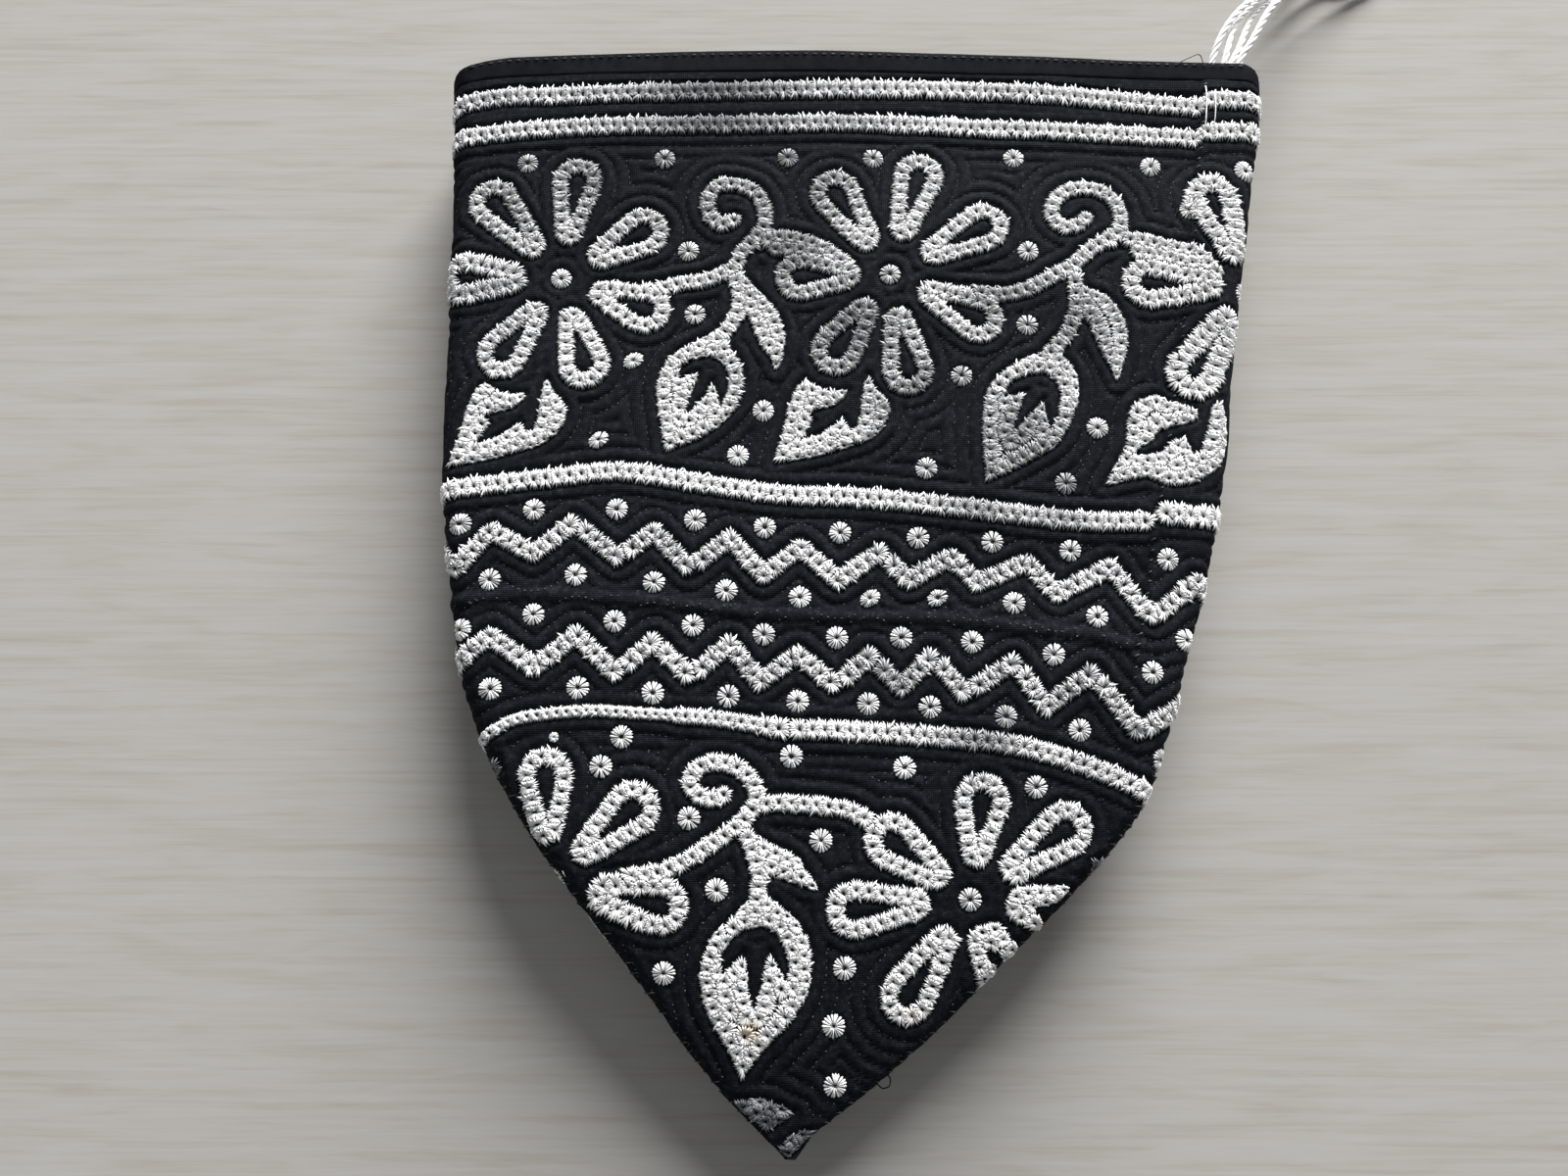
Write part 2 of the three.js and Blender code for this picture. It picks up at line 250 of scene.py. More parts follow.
CROWN_STRIPES = {
    "thin_stripe": (0.95, [
        (-76, -38), (-68, -34), (-61, -29.4), (-56.5, -26.5), (-50.5, -25.5), (-44, -25), (-36, -25.5),
        (-24, -26.3),
    ]),
    "widening_stripe": (1.35, [(-30, -25.9), (-23, -26.4), (-14, -27.9)]),
    "crown_stripe": (1.7, [
        (-16.5, -27.4), (-13, -28), (-4, -28.2), (9.5, -29), (23, -30.4), (32, -32.7), (41, -36.2),
        (46.5, -39.5),
    ]),
}
ZIGZAG_HALF = 1.65
ZIGZAGS = {
    "upper": [
        (-78, -2.4), (-72, 3.4), (-66.5, -1.7), (-61, 4.4), (-54, 0.5), (-47.5, 5.8), (-40, -0.4),
        (-34.5, 4.2), (-28.5, -2.1), (-22, 2.9), (-16.5, -3.3), (-10.5, 1.5), (-4.5, -4.1), (2.5, 0.7),
        (7, -4.1), (14, -0.1), (18, -4.5), (26.5, -1), (31, -6.2), (40, -1.6), (45.5, -9.4),
    ],
    "upper_side": [(46.5, -10), (54, -4), (58.5, -9), (65, -3.6)],
    "lower": [
        (-78, -18.4), (-71.5, -12.6), (-66, -17.7), (-60.5, -13), (-53, -18.2), (-46.5, -12.9),
        (-40, -19.2), (-34, -14), (-28, -19.9), (-22, -14.5), (-17, -20.6), (-11, -16.1), (-5, -21.2),
        (0.5, -16.4), (5.5, -21.5), (10.5, -16.4), (15.5, -22.5), (23.5, -17.4), (28.5, -24.5), (36, -19),
        (42.5, -27.7),
    ],
    "lower_side": [(43.5, -28.2), (51, -23.8), (56, -27.4)],
}
MIDDLE_RIDGE = [
    (-86, -10), (-66.5, -7.2), (-55, -6.1), (-44.5, -6.7), (-32, -7.7), (-17, -9.5), (-3.5, -10),
    (14.5, -10.5), (26, -11.9), (35.5, -12.8), (42, -14.6),
]

# Flowers: centre, and each petal's direction in degrees, how far out its two round ends lie, and half the
# width of its stroke where that isn't the usual one
FLOWERS = {
    "left": ((-51.4, 49.2), [
        (83, 8.6, 18.0), (31, 7.9, 16.3), (-22, 7.8, 15.8), (-74, 8.1, 16.4), (-124, 8.0, 16.8),
        (180, 8.7, 16.4, 1.95), (131, 8.2, 18.6),
    ]),
    "middle": ((4.9, 49.2), [
        (74, 9.0, 19.5), (29, 8.7, 18.6), (-28, 7.9, 16.8), (-81, 8.5, 17.5), (-124, 8.1, 16.5),
        (181, 7.5, 15.3), (121, 7.9, 17.9),
    ]),
    "right": ((66.3, 47.4), [
        (107, 7.6, 17.4, 1.85), (178, 7.0, 17.2, 1.75), (236, 8.0, 18.8, 1.95), (55, 8, 18), (0, 8, 17),
        (-55, 8, 17),
    ]),
}
CROWN_FLOWERS = {
    "crown_left": ((-49.6, -51.5), [
        (94, 8.1, 16.4), (41, 7.5, 16.9), (-12, 8.5, 17.7), (145, 8, 17), (-65, 8, 17),
    ]),
    "crown_right": ((15.8, -54.2), [
        (144, 6.6, 15.1), (185, 8.6, 18.2), (236, 7.7, 17.6), (82, 7.3, 15.2), (35, 8.6, 18.5),
    ]),
}
PETAL_NEAR = 1.1  # radius of the stitched line round a petal's near end
PETAL_FAR = 3.05

# Scrolls, vines and stems as lines through these points
VINES = {
    "scroll_1": [
        (-21.8, 59.4), (-24.1, 58.8), (-26, 60.8), (-26.4, 63.6), (-24.6, 66.2), (-21.7, 66.3),
        (-18.4, 65), (-16.6, 61.8), (-16.7, 58.1), (-18.8, 55.2), (-20.6, 53.3), (-21.4, 51.1),
        (-24.2, 49.4), (-27, 48.4), (-30.4, 48.1), (-33, 47.4), (-36, 46.8), (-39.3, 46.8), (-43, 47.5),
    ],
    "vine_1": [(-17.7, 55.1), (-14.5, 56.2), (-11, 55.9), (-7, 54.6), (-4, 52.4), (-2, 50.8)],
    "vine_1_inner": [(-14.6, 54.0), (-11.5, 54.2), (-8, 53.3), (-4.5, 51.6)],
    "stem_1": [(-21.4, 50.2), (-21.2, 47.6), (-20.7, 45), (-21.1, 42.4), (-22.5, 39.8), (-24.5, 37.6)],
    "scroll_2": [
        (39, 60), (37.2, 58.6), (35, 58.3), (33.2, 60), (33.3, 62.5), (35, 64.7), (38, 65.8),
        (41.3, 65.6), (44, 63.6), (45.1, 60.6), (44.5, 57.6), (41.6, 55.6), (38.8, 53.6), (36.4, 51.2),
        (33.6, 49.7), (30.4, 47.7), (27.2, 46.3), (23.6, 45.7), (19.6, 46), (16.5, 46), (12.7, 46.5),
    ],
    "vine_2": [(42.5, 55.6), (46.2, 56.2), (49, 56), (53, 54.8), (57, 54.2), (59.2, 52), (61, 50.2)],
    "vine_2_inner": [(47.6, 53.8), (51, 53.4), (54.5, 52.6), (58.5, 51)],
    "stem_2": [(36.3, 50), (36.6, 46), (36.5, 43), (35.4, 40), (34, 37.7), (31.8, 35.3)],
}
CROWN_VINES = {
    "crown_scroll": [
        (-22.6, -38.2), (-23.9, -38.8), (-25.7, -38.6), (-27.4, -37.5), (-28, -36), (-27.2, -34.5),
        (-25.7, -33.5), (-23.9, -33.1), (-21.9, -33.4), (-19.8, -34.4), (-18.3, -35.8), (-17.5, -37.5),
        (-17.5, -39.3), (-18.5, -41), (-20.5, -43), (-23.3, -45), (-27, -47.4), (-30, -49),
        (-33.3, -50.2), (-37.4, -50.6), (-40.7, -51),
    ],
    "crown_petal_base": [(-42.4, -52.2), (-42, -54.4), (-40.2, -56), (-37, -57), (-34, -58)],
    "crown_vine": [(-17.8, -40), (-14.6, -39.4), (-10.5, -39.6), (-6.4, -40), (-2.7, -40.6), (1, -42.8)],
    "crown_stem": [(-19.5, -43), (-17.9, -47), (-17, -50.2), (-17.2, -53), (-17.6, -56)],
}

# Filled shapes as outlines, with the dark shapes left open in them. A point given twice is a corner.
FINS = {
    "fin_1": [
        (-20, 49), (-17.7, 46.7), (-15.7, 44.5), (-14, 42), (-13.1, 38.5), (-13.3, 34.6), (-14.6, 32),
        (-14.6, 32), (-15.5, 34.2), (-17, 36.3), (-18.1, 38.5), (-19.1, 41), (-20, 43.5),
    ],
    "fin_2": [
        (37, 47.8), (39.3, 46.8), (41.6, 45.9), (43.7, 43.5), (45, 39.7), (44.7, 35), (42.7, 30),
        (42.7, 30), (42, 32), (41, 34), (39.7, 36.8), (38.6, 40), (37.4, 42.5),
    ],
}
CROWN_FINS = {
    "crown_fin": [
        (-18.7, -43.4), (-16.6, -45), (-13.7, -46.2), (-11, -47.8), (-9.3, -50.2), (-7.5, -53),
        (-7.5, -53), (-10, -52.2), (-13, -51.2), (-15.4, -50.4), (-17.4, -48.6),
    ],
}
CUT_PETALS = {
    "cracked_petal": (
        [
            (15.3, -59.6), (16.7, -58.3), (19.8, -57.5), (21.6, -59.2), (23.4, -62.3), (21.2, -64),
            (19.3, -66.6), (16.9, -67.9), (16.2, -65.3), (15.5, -62.2),
        ],
        [(18.3, -61.7), (19.4, -62.0), (21.4, -64.2), (20.4, -66.8), (20.1, -65.3), (18.7, -63.5)],
    ),
    "forked_petal": (
        [
            (21.4, -54), (23, -52.3), (26.6, -52), (31.1, -52.3), (29, -54.7), (25.9, -55.5),
            (26.8, -57.1), (27, -59.5), (23.4, -58.1), (21.4, -56.6),
        ],
        None,
    ),
}

# Small leaves at the crown's tip and edges, marked over with grey ink
INKED_PATCHES = [
    [(-21.4, -84.3), (-15.8, -84.2), (-11.4, -86.2), (-13.6, -87.7), (-16, -89.3), (-18.1, -87.2)],
    [(-14.4, -91.6), (-12.2, -89.8), (-10.1, -88.9), (-7.4, -89.1), (-9.9, -90.8), (-12.6, -93)],
    [(-60.4, -32.2), (-58.2, -32.4), (-57.6, -34.4), (-59.4, -35)],
    [(34.6, -48.2), (36.6, -47.6), (37, -49.6), (35.2, -50.4)],
]

# Light brown stains, and places greyed by painted shade, where the cloth turns from the light, and by wear:
# centre, radius and strength
STAINS = [((-18.3, -73.9), 2.3, 0.5), ((6.5, -71.3), 1.8, 0.2)]
SHADE_AND_WEAR_SPOTS = [
    ((-26, 82), 34, 1.0), ((-46, 69), 20, 0.75), ((-12, 68), 22, 0.85), ((-13, 54), 18, 0.85),
    ((-2, 40), 18, 0.9), ((11, 25), 18, 0.95), ((26, 20), 15, 0.85), ((19, 12), 15, 0.8),
    ((32, 10), 11, 0.85), ((-64, 45), 15, 0.65), ((4, -20), 10, 0.65), ((18, -28), 14, 0.85),
    ((32, -22), 9, 0.55), ((34, -36), 10, 0.55), ((-30, 62), 14, 0.75), ((36, 41), 16, 0.7),
    ((24, 46), 16, 0.7), ((-4, 77), 20, 0.6), ((-58, 66), 18, 0.75), ((-29, 1), 10, 0.45),
    ((-55, -39), 9, 0.4), ((-40, 2), 12, 0.35), ((-18, -18), 12, 0.35), ((62, 44), 12, 0.3),
    ((-64, 82), 16, 0.5), ((-48, 82), 14, 0.5), ((8, 68), 12, 0.35), ((30, 80), 20, 0.3),
    ((46, 60), 24, 0.3), ((-20, 30), 10, 0.25), ((15, -4), 16, 0.3), ((-10, -91), 5, 0.9),
]

LEAVES = {
    "leaf_1": (
        [
            (-23.6, 39), (-30.2, 36.4), (-33.3, 33.4), (-34.6, 29.6), (-34.4, 25.8), (-33.7, 22),
            (-33.2, 17.6), (-33.2, 17.6), (-28.3, 19.6), (-25.5, 21.2), (-22.7, 23.7), (-20.6, 26.2),
            (-19.8, 29), (-20.2, 33), (-22.1, 36.1),
        ],
        [
            (-31, 30.7), (-30.3, 32.8), (-28.3, 34.2), (-25.6, 34.6), (-23.5, 33.6), (-22.5, 31.2),
            (-22.7, 28.5), (-23.9, 25.4), (-24.4, 27.9), (-25.1, 30.4), (-26.5, 27.7), (-28, 25.8),
            (-29.7, 24.2), (-29.2, 26.6), (-28.2, 29.6), (-27.5, 31.8), (-29.1, 31.4),
        ],
    ),
    "leaf_2": (
        [
            (33, 35.4), (27.6, 34.4), (23, 31.5), (20.5, 27.8), (19.7, 23), (19.7, 18.6), (19.8, 12.2),
            (19.8, 12.2), (23.7, 14), (28, 16.3), (32.2, 19), (34.7, 22.8), (36.1, 27.4), (35.9, 31.6),
        ],
        [
            (23.6, 27.3), (24.8, 29.7), (27.5, 31.3), (30.6, 31.6), (32.5, 30.2), (33, 27.4), (32.4, 24),
            (31, 21.6), (30.5, 24), (30.2, 27), (28.5, 25), (26.2, 22.5), (24.6, 20.7), (25.4, 23.2),
            (26.6, 26), (27.6, 28.5), (25, 27.6),
        ],
    ),
}
CROWN_LEAVES = {
    "crown_leaf": (
        [
            (-17.6, -53.6), (-21.6, -57), (-24.8, -60.5), (-26.3, -65.3), (-25.6, -70), (-23.6, -74),
            (-21.6, -77.6), (-19.8, -81.8), (-19.8, -81.8), (-17.6, -78.6), (-15, -75.6), (-12, -72.6),
            (-9.7, -68.7), (-8.9, -64.8), (-9.2, -60.5), (-11.6, -57), (-15.4, -53.8),
        ],
        [
            (-23, -65.4), (-22.7, -63), (-21.6, -60.5), (-19.4, -58.7), (-16.5, -58.1), (-14.5, -59.2),
            (-13.2, -61.3), (-12.5, -64), (-12.7, -66.7), (-13.9, -64.8), (-15.4, -62), (-16.3, -64),
            (-16.6, -66.5), (-17.8, -71), (-18.6, -68), (-19, -64.8), (-19.3, -62), (-21.6, -64.4),
        ],
    ),
}
OPEN_LEAF = [
    (-15.1, 15.7), (-15.1, 15.7), (-13.4, 21.6), (-12.5, 25.8), (-11.3, 28.8), (-9.7, 30.6), (-9.7, 30.6),
    (-7.3, 29.2), (-5, 28.5), (-2.3, 28.6), (-2.3, 28.6), (-4, 26.3), (-6.5, 25.5), (-9.2, 24.6),
    (-9.2, 24.6), (-8.2, 23.2), (-8.2, 23.2), (-8.9, 22), (-10.6, 19.8), (-10.6, 19.8), (-7.3, 20.9),
    (-5, 22.4), (-3.2, 23.9), (-3.2, 23.9), (-2.2, 21.6), (-2.2, 21.6), (-1, 22.2), (-0.4, 24.8),
    (-0.1, 28), (0.9, 31.4), (0.9, 31.4), (2.3, 28.8), (4.2, 26.8), (4.6, 24.8), (3.4, 22), (0.5, 19.6),
    (-3.4, 18.3), (-8.2, 17), (-12, 16.3),
]
OPEN_LEAF_PLACES = [(-54.0, -0.3), (0.0, 0.0)]
RIGHT_LEAF = [
    (39.3, 11.8), (39.3, 11.8), (41.8, 15.8), (43.6, 19.8), (44.3, 24.6), (46.6, 27.2), (49.3, 27.9),
    (52, 26.7), (55.8, 25.5), (55.8, 25.5), (56, 23.7), (52.2, 22.4), (49, 21.6), (49, 21.6),
    (48.6, 20.2), (48.6, 20.2), (46.4, 18.9), (45, 17.4), (45, 17.4), (47.6, 17.7), (49.6, 18.2),
    (51.4, 19.8), (53.4, 20.6), (53.4, 20.6), (54.1, 19), (54.9, 17.4), (54.9, 17.4), (56.2, 18.4),
    (57.4, 21.8), (58.2, 25), (60.1, 28), (60.1, 28), (60.7, 23.6), (60.2, 18.5), (57.9, 14.8),
    (54.4, 12.5), (50, 12), (47.4, 13.4), (43.4, 12.9),
]

DOTS = [
    (-58, 70.8), (-34, 71.4), (-12.5, 71.5), (2.4, 71.4), (27, 71.6), (51, 70.3), (67.5, 69.7),
    (-29.6, 54), (-28.3, 42.3), (-38.6, 34), (-44, 20), (-20.8, 17.2), (-16.6, 25), (16.6, 31),
    (10.3, 14.8), (28.7, 53.7), (28, 40.2), (39, 22), (33.3, 12.4), (57.3, 62.1), (-51.4, 49.2),
    (4.9, 49.2), (66.3, 47.4), (-66.2, 5.6), (-54.2, 8), (-40.6, 8), (-27.7, 6.1), (-16.3, 4.8), (-4, 4),
    (8.7, 3.1), (20.8, 2.4), (33.6, 1.1), (49.4, -0.4), (-61, -3.7), (-47, -3), (-34.2, -4.3),
    (-22.5, -5.7), (-10.6, -6.8), (0.7, -7), (11.6, -6.9), (24, -7.7), (37.3, -9.9), (51.5, -13.6),
    (-65.3, -11.8), (-53.6, -9.5), (-40.4, -10.7), (-27.8, -11.4), (-16.4, -12.9), (-4.7, -13.4),
    (5.6, -13.4), (17, -14.1), (30, -16.1), (45.6, -19), (-60, -21.5), (-46, -21.4), (-34, -22.3),
    (-22, -22.8), (-11, -23.6), (0.2, -24), (10, -24.5), (22, -26), (33.7, -28.1), (47, -32.7),
]
CROWN_DOTS = [
    (-38.8, -29.2), (-42, -33.8), (-28, -41.8), (-23.6, -52.7), (-7.4, -45.2), (-31.8, -65.3),
    (-3.8, -64.5), (-5.5, -73.2), (-5.3, -82.2), (-12, -32.3), (5.8, -34), (26.5, -37), (15.8, -54.2),
    (-49.6, -51.5),
]
SMALL_DOTS = [(-49.6, -29.2)]
OVAL_DOTS = [(-38.6, 34), (-44, 20), (0.7, -7), (11.6, -6.9)]
OVAL_NARROW = 0.68
OVAL_LEAN_DEG = 32
SEAM = [
    (61.9, 93.3), (61.7, 89.6), (59.5, 74), (55.8, 50), (49.3, 14.7), (47, 5.5), (44.7, -9.3),
    (43.7, -12), (42, -20), (40.6, -28.8),
]

# Short stitches: random seed, spacing and length, half their width, how far a thread's ridge stands up,
# and how far the whole stitch lies above the cloth or the tape
STITCHES = {
    "quilting": {"seed": 200, "pitch": 1.1, "length": 0.5, "half_width": 0.11, "roof": 0.1},
    "tape": {"seed": 300, "pitch": 1.65, "length": 1.15, "half_width": 0.13, "roof": 0.14, "rise": 0.08},
    "crown_edge": {"seed": 310, "pitch": 1.5, "half_width": 0.15, "roof": 0.16, "rise": 0.14},
    "seam": {"seed": 320, "pitch": 1.8, "half_width": 0.13, "roof": 0.12, "rise": 0.12},
}
STITCH_BOW = np.array([-0.05, 0.02, 0.02, -0.05])
TAPE_STITCH_DEPTH = 1.3  # the row lies this far below the rim
MISSING_STITCHES = 0.3  # the share of the quilting stitches that doesn't show
STITCHED_UP_TO_Y = 86.0
SHORTEST_GROOVE = 4.0  # shorter grooves carry no stitches

# Loose threads: radius, and a route on the panel as x, y and height above the grooves
LOOSE_WHITE_THREADS = [
    (0.11, [
        (61.5, 85.6, 0.8), (61.4, 84.1, 1.15), (61.3, 81.8, 1.2), (61.1, 79.5, 1.15), (61.0, 78, 0.8),
    ]),
    (0.09, [(63.0, 83.6, 0.8), (62.9, 81.8, 1.2), (62.7, 79.7, 1.2), (62.6, 78.4, 0.8)]),
    (0.06, [(-47.6, -49.2, 0.1), (-47.3, -49.9, 0.5), (-46.9, -50.6, 0.5), (-46.6, -51.2, 0.1)]),
]
LOOSE_BLACK_THREADS = [
    (0.08, [
        (56.0, 89.6, 0.6), (57.6, 90.6, 0.8), (59.2, 91.3, 1.0), (60.6, 91.9, 1.1), (61.2, 91.5, 1.0),
        (61.6, 90.2, 0.6),
    ]),
    (0.12, [
        (3.0, -81.0, 0.1), (2.7, -81.3, 0.9), (1.9, -82.1, 2.0), (1.0, -82.9, 2.7), (0.7, -83.2, 2.3),
        (1.0, -82.9, 1.4), (1.4, -82.5, 0.5), (1.6, -82.3, 0.1),
    ]),
]


def smoothstep(value, low, high):
    t = np.clip((value - low) / (high - low), 0.0, 1.0)
    return t * t * (3.0 - 2.0 * t)


def lumps(x, y, size, seed):
    """Smooth noise from 0 to 1 with lumps of about that size."""
    cells = 64
    lattice = np.random.default_rng(seed).random((cells, cells))
    u = np.asarray(x, float) / size
    v = np.asarray(y, float) / size
    i = np.floor(u).astype(int)
    j = np.floor(v).astype(int)
    fu = u - i
    fv = v - j
    fu = fu * fu * (3 - 2 * fu)
    fv = fv * fv * (3 - 2 * fv)
    i0, i1, j0, j1 = i % cells, (i + 1) % cells, j % cells, (j + 1) % cells
    low = lattice[j0, i0] * (1 - fu) + lattice[j0, i1] * fu
    high = lattice[j1, i0] * (1 - fu) + lattice[j1, i1] * fu
    return low * (1 - fv) + high * fv


def outline(name, y):
    """One column of the outline at any y, on a smooth curve through the rows."""
    rows = OUTLINE[:, 0]
    values = OUTLINE[:, OUTLINE_COLUMNS.index(name)]
    y = np.clip(np.asarray(y, float), TIP_Y, RIM_Y)
    last = len(rows) - 1
    slopes = np.array([
        (values[min(i + 1, last)] - values[max(i - 1, 0)]) / (rows[min(i + 1, last)] - rows[max(i - 1, 0)])
        for i in range(last + 1)
    ])
    i = np.clip(np.searchsorted(-rows, -y, side="right") - 1, 0, last - 1)
    span = rows[i + 1] - rows[i]
    t = (y - rows[i]) / span
    rise = t * t * (3 - 2 * t)
    return (values[i] + (values[i + 1] - values[i]) * rise + slopes[i] * span * t * (1 - t) ** 2
            - slopes[i + 1] * span * t * t * (1 - t))


def section(y):
    """Sizes of the folded wall's middle line at each y, and its length up to the end of each stretch."""
    left = outline("left", y)
    right = outline("right", y)
    width = np.maximum(right - left, LEAST_WIDTH)
    sizes = {"middle": (left + right) / 2, "squeeze": (right - left) / width, "reach": width / 2 - WALL / 2}
    full = 4 * WALL + 2 * SLOT + POCKET
    spare = (outline("thick", y) - 4 * WALL) / (full - 4 * WALL)
    fold = (WALL + SLOT * spare) / 2
    crease = (WALL + POCKET * spare) / 2
    back_z = WALL / 2 + TAPE_PROUD * smoothstep(y, LIFT_START_Y, RIM_Y - BINDING_DEPTH)
    turn = sizes["reach"] - fold
    lower_turn = turn - UNDER_INSET * sizes["squeeze"]
    crease_centre = np.minimum(CREASE_X, CREASE_SHARE * sizes["reach"]) + crease
    ends = [turn, math.pi * fold, turn - crease_centre, math.pi * crease, lower_turn - crease_centre,
            math.pi * fold, lower_turn]
    sizes.update({
        "fold": fold,
        "crease": crease,
        "turn": turn,
        "lower_turn": lower_turn,
        "crease_centre": crease_centre,
        "back_z": back_z,
        "lower_z": back_z + 2 * fold,
        "upper_z": back_z + 2 * fold + 2 * crease,
        "front_z": back_z + 4 * fold + 2 * crease,
        "crown": outline("crown", y),
        "ends": np.cumsum(ends, axis=0),
    })
    return sizes


def dent(x, y):
    middle = DENT["y"] + DENT["slope"] * (x - DENT["x"])
    along = (x - DENT["x"]) / DENT["length"]
    across = (y - middle) / DENT["width"]
    return -DENT["depth"] * np.exp(-along * along - across * across)


def unevenness(x, y, layers, shift):
    """Noise about nought, as a sum of layers, each with a height, a size and a seed."""
    return sum(height * (lumps(x + shift, y + shift, size, seed) - 0.5) for height, size, seed in layers)


def rumple(x, y):
    """Slow rise and fall of the front, as of a padded cloth that has been handled."""
    return unevenness(x, y, RUMPLES, 200)


def rim_fall_share(x):
    """How much a millimetre of the wall above the fall's start shrinks at each x."""
    return np.interp(x, RIM_FALL[:, 0], RIM_FALL[:, 1]) / (RIM_Y - RIM_FALL_START_Y)


def fallen(x, y):
    """Where a place on a straight-rimmed wall lies on the worn one."""
    return y - rim_fall_share(x) * np.maximum(y - RIM_FALL_START_Y, 0)


def unfallen(x, y):
    share = rim_fall_share(x)
    return np.where(y > RIM_FALL_START_Y, (y - share * RIM_FALL_START_Y) / (1 - share), y)


def wall_point(s, y, off):
    """The point at arc length s along the folded wall from the front's middle, off millimetres outward."""
    k = section(y)
    side = np.where(s < 0, -1.0, 1.0)
    a = np.abs(s)
    ends = k["ends"]
    fold, crease, centre = k["fold"], k["crease"], k["crease_centre"]
    turn, lower = k["turn"], k["lower_turn"]
    t1 = (a - ends[0]) / fold
    t3 = (a - ends[2]) / crease
    t5 = (a - ends[4]) / fold
    where = [a < end for end in ends[:6]]
    x = np.select(where, [
        a,
        turn + fold * np.sin(t1),
        turn - (a - ends[1]),
        centre - crease * np.sin(t3),
        centre + (a - ends[3]),
        lower + fold * np.sin(t5),
    ], lower - (a - ends[5]))
    z = np.select(where, [
        k["front_z"],
        k["upper_z"] + fold + fold * np.cos(t1),
        k["upper_z"],
        k["lower_z"] + crease + crease * np.cos(t3),
        k["lower_z"],
        k["back_z"] + fold + fold * np.cos(t5),
    ], k["back_z"])
    nx = np.select(where, [0.0, np.sin(t1), 0.0, np.sin(t3), 0.0, np.sin(t5)], 0.0)
    nz = np.select(where, [1.0, np.cos(t1), -1.0, -np.cos(t3), 1.0, np.cos(t5)], -1.0)
    world_x = k["middle"] + side * x * k["squeeze"]
    in_front = np.clip((z - (k["upper_z"] + fold)) / fold, 0, 1)
    rise = k["crown"] * (1 - (x / k["reach"]) ** 2) + dent(world_x, y) + rumple(world_x, y) * k["squeeze"]
    out_x = world_x + side * nx * off * k["squeeze"]
    return np.stack([out_x, fallen(out_x, y + 0 * s), z + nz * off + in_front * rise], axis=-1)


def pattern_to_length(x, y):
    """Arc length on the wall of a front pattern coordinate."""
    left, right = outline("left", y), outline("right", y)
    middle = (left + right) / 2
    width = right - left
    return (x - middle) / (width / np.maximum(width, LEAST_WIDTH))


def length_to_pattern(s, y):
    left, right = outline("left", y), outline("right", y)
    middle = (left + right) / 2
    width = right - left
    return middle + s * width / np.maximum(width, LEAST_WIDTH)


def on_front(x, y, height):
    """World point of the front, height millimetres above its grooves."""
    wall_y = unfallen(x, y)
    return wall_point(pattern_to_length(x, wall_y), wall_y, GROOVE_OFF + height + lap_rise(x, y))


def on_back(x, y, height):
    """World point of the back, whose pattern lies under the front's own."""
    wall_y = unfallen(x, y)
    front = pattern_to_length(x, wall_y)
    ends = section(wall_y)["ends"]
    length = np.where(front < 0, -1.0, 1.0) * (ends[6] - np.abs(front))
    return settled(wall_point(length, wall_y, GROOVE_OFF + height))


def settled(points):
    """What would reach the surface below is pressed flat just above it."""
    z = points[..., 2]
    low = np.minimum(z, REST_HEIGHT)
    pressed = REST_HEIGHT * np.exp(low / REST_HEIGHT - 1)
    return np.concatenate([points[..., :2], np.where(z < REST_HEIGHT, pressed, z)[..., None]], axis=-1)


def lap_rise(x, y):
    """At the joining seam the right cloth lies over the left one's edge."""
    past = np.asarray(x, float) - seam_x(y)
    over = LAP_RISE * smoothstep(past, -0.3, 0.5) * (1 - smoothstep(past, 2.0, 7.0))
    under = -LAP_DIP * np.exp(-((past + 0.8) / 0.7) ** 2)
    away_from_rim = 1 - LAP_LOST_AT_RIM * smoothstep(y, 84.0, 87.5)
    return np.where(y > BAND_END_Y, (over + under) * away_from_rim, 0.0)


def seam_x(y):
    places = np.array(SEAM)[::-1]
    return np.interp(y, places[:, 1], places[:, 0])


def curve_through(points, closed=False, step=0.8):
    """A smooth line through the points. A point given twice stays a corner."""
    pts = [np.array(p, float) for p in points]
    merged, corner = [], []
    for p in pts:
        if merged and np.allclose(merged[-1], p):
            corner[-1] = True
        else:
            merged.append(p)
            corner.append(False)
    if closed and np.allclose(merged[0], merged[-1]) and len(merged) > 2:
        merged.pop()
        corner[0] = corner[0] or corner.pop()
    n = len(merged)
    out = []
    for i in range(n if closed else n - 1):
        p1 = merged[i]
        p2 = merged[(i + 1) % n]
        before = merged[(i - 1) % n] if closed or i > 0 else 2 * p1 - p2
        after = merged[(i + 2) % n] if closed or i < n - 2 else 2 * p2 - p1
        start = (p2 - p1) if corner[i] else (p2 - before) / 2
        end = (p2 - p1) if corner[(i + 1) % n] else (after - p1) / 2
        count = max(1, int(round(np.linalg.norm(p2 - p1) / step)))
        for t in np.arange(count) / count:
            a = 2 * t ** 3 - 3 * t ** 2 + 1
            b = t ** 3 - 2 * t ** 2 + t
            c = -2 * t ** 3 + 3 * t ** 2
            d = t ** 3 - t ** 2
            out.append(a * p1 + b * start + c * p2 + d * end)
    if not closed:
        out.append(merged[-1])
    return np.array(out)


def resample(line, pitch, closed=False):
    """Evenly spaced places along a line, near that pitch apart."""
    pts = np.vstack([line, line[:1]]) if closed else line
    along = np.concatenate([[0], np.cumsum(np.linalg.norm(np.diff(pts, axis=0), axis=1))])
    count = max(1, int(round(along[-1] / pitch)))
    places = np.arange(count if closed else count + 1) * along[-1] / count
    return np.stack([np.interp(places, along, pts[:, k]) for k in range(pts.shape[1])], axis=-1)


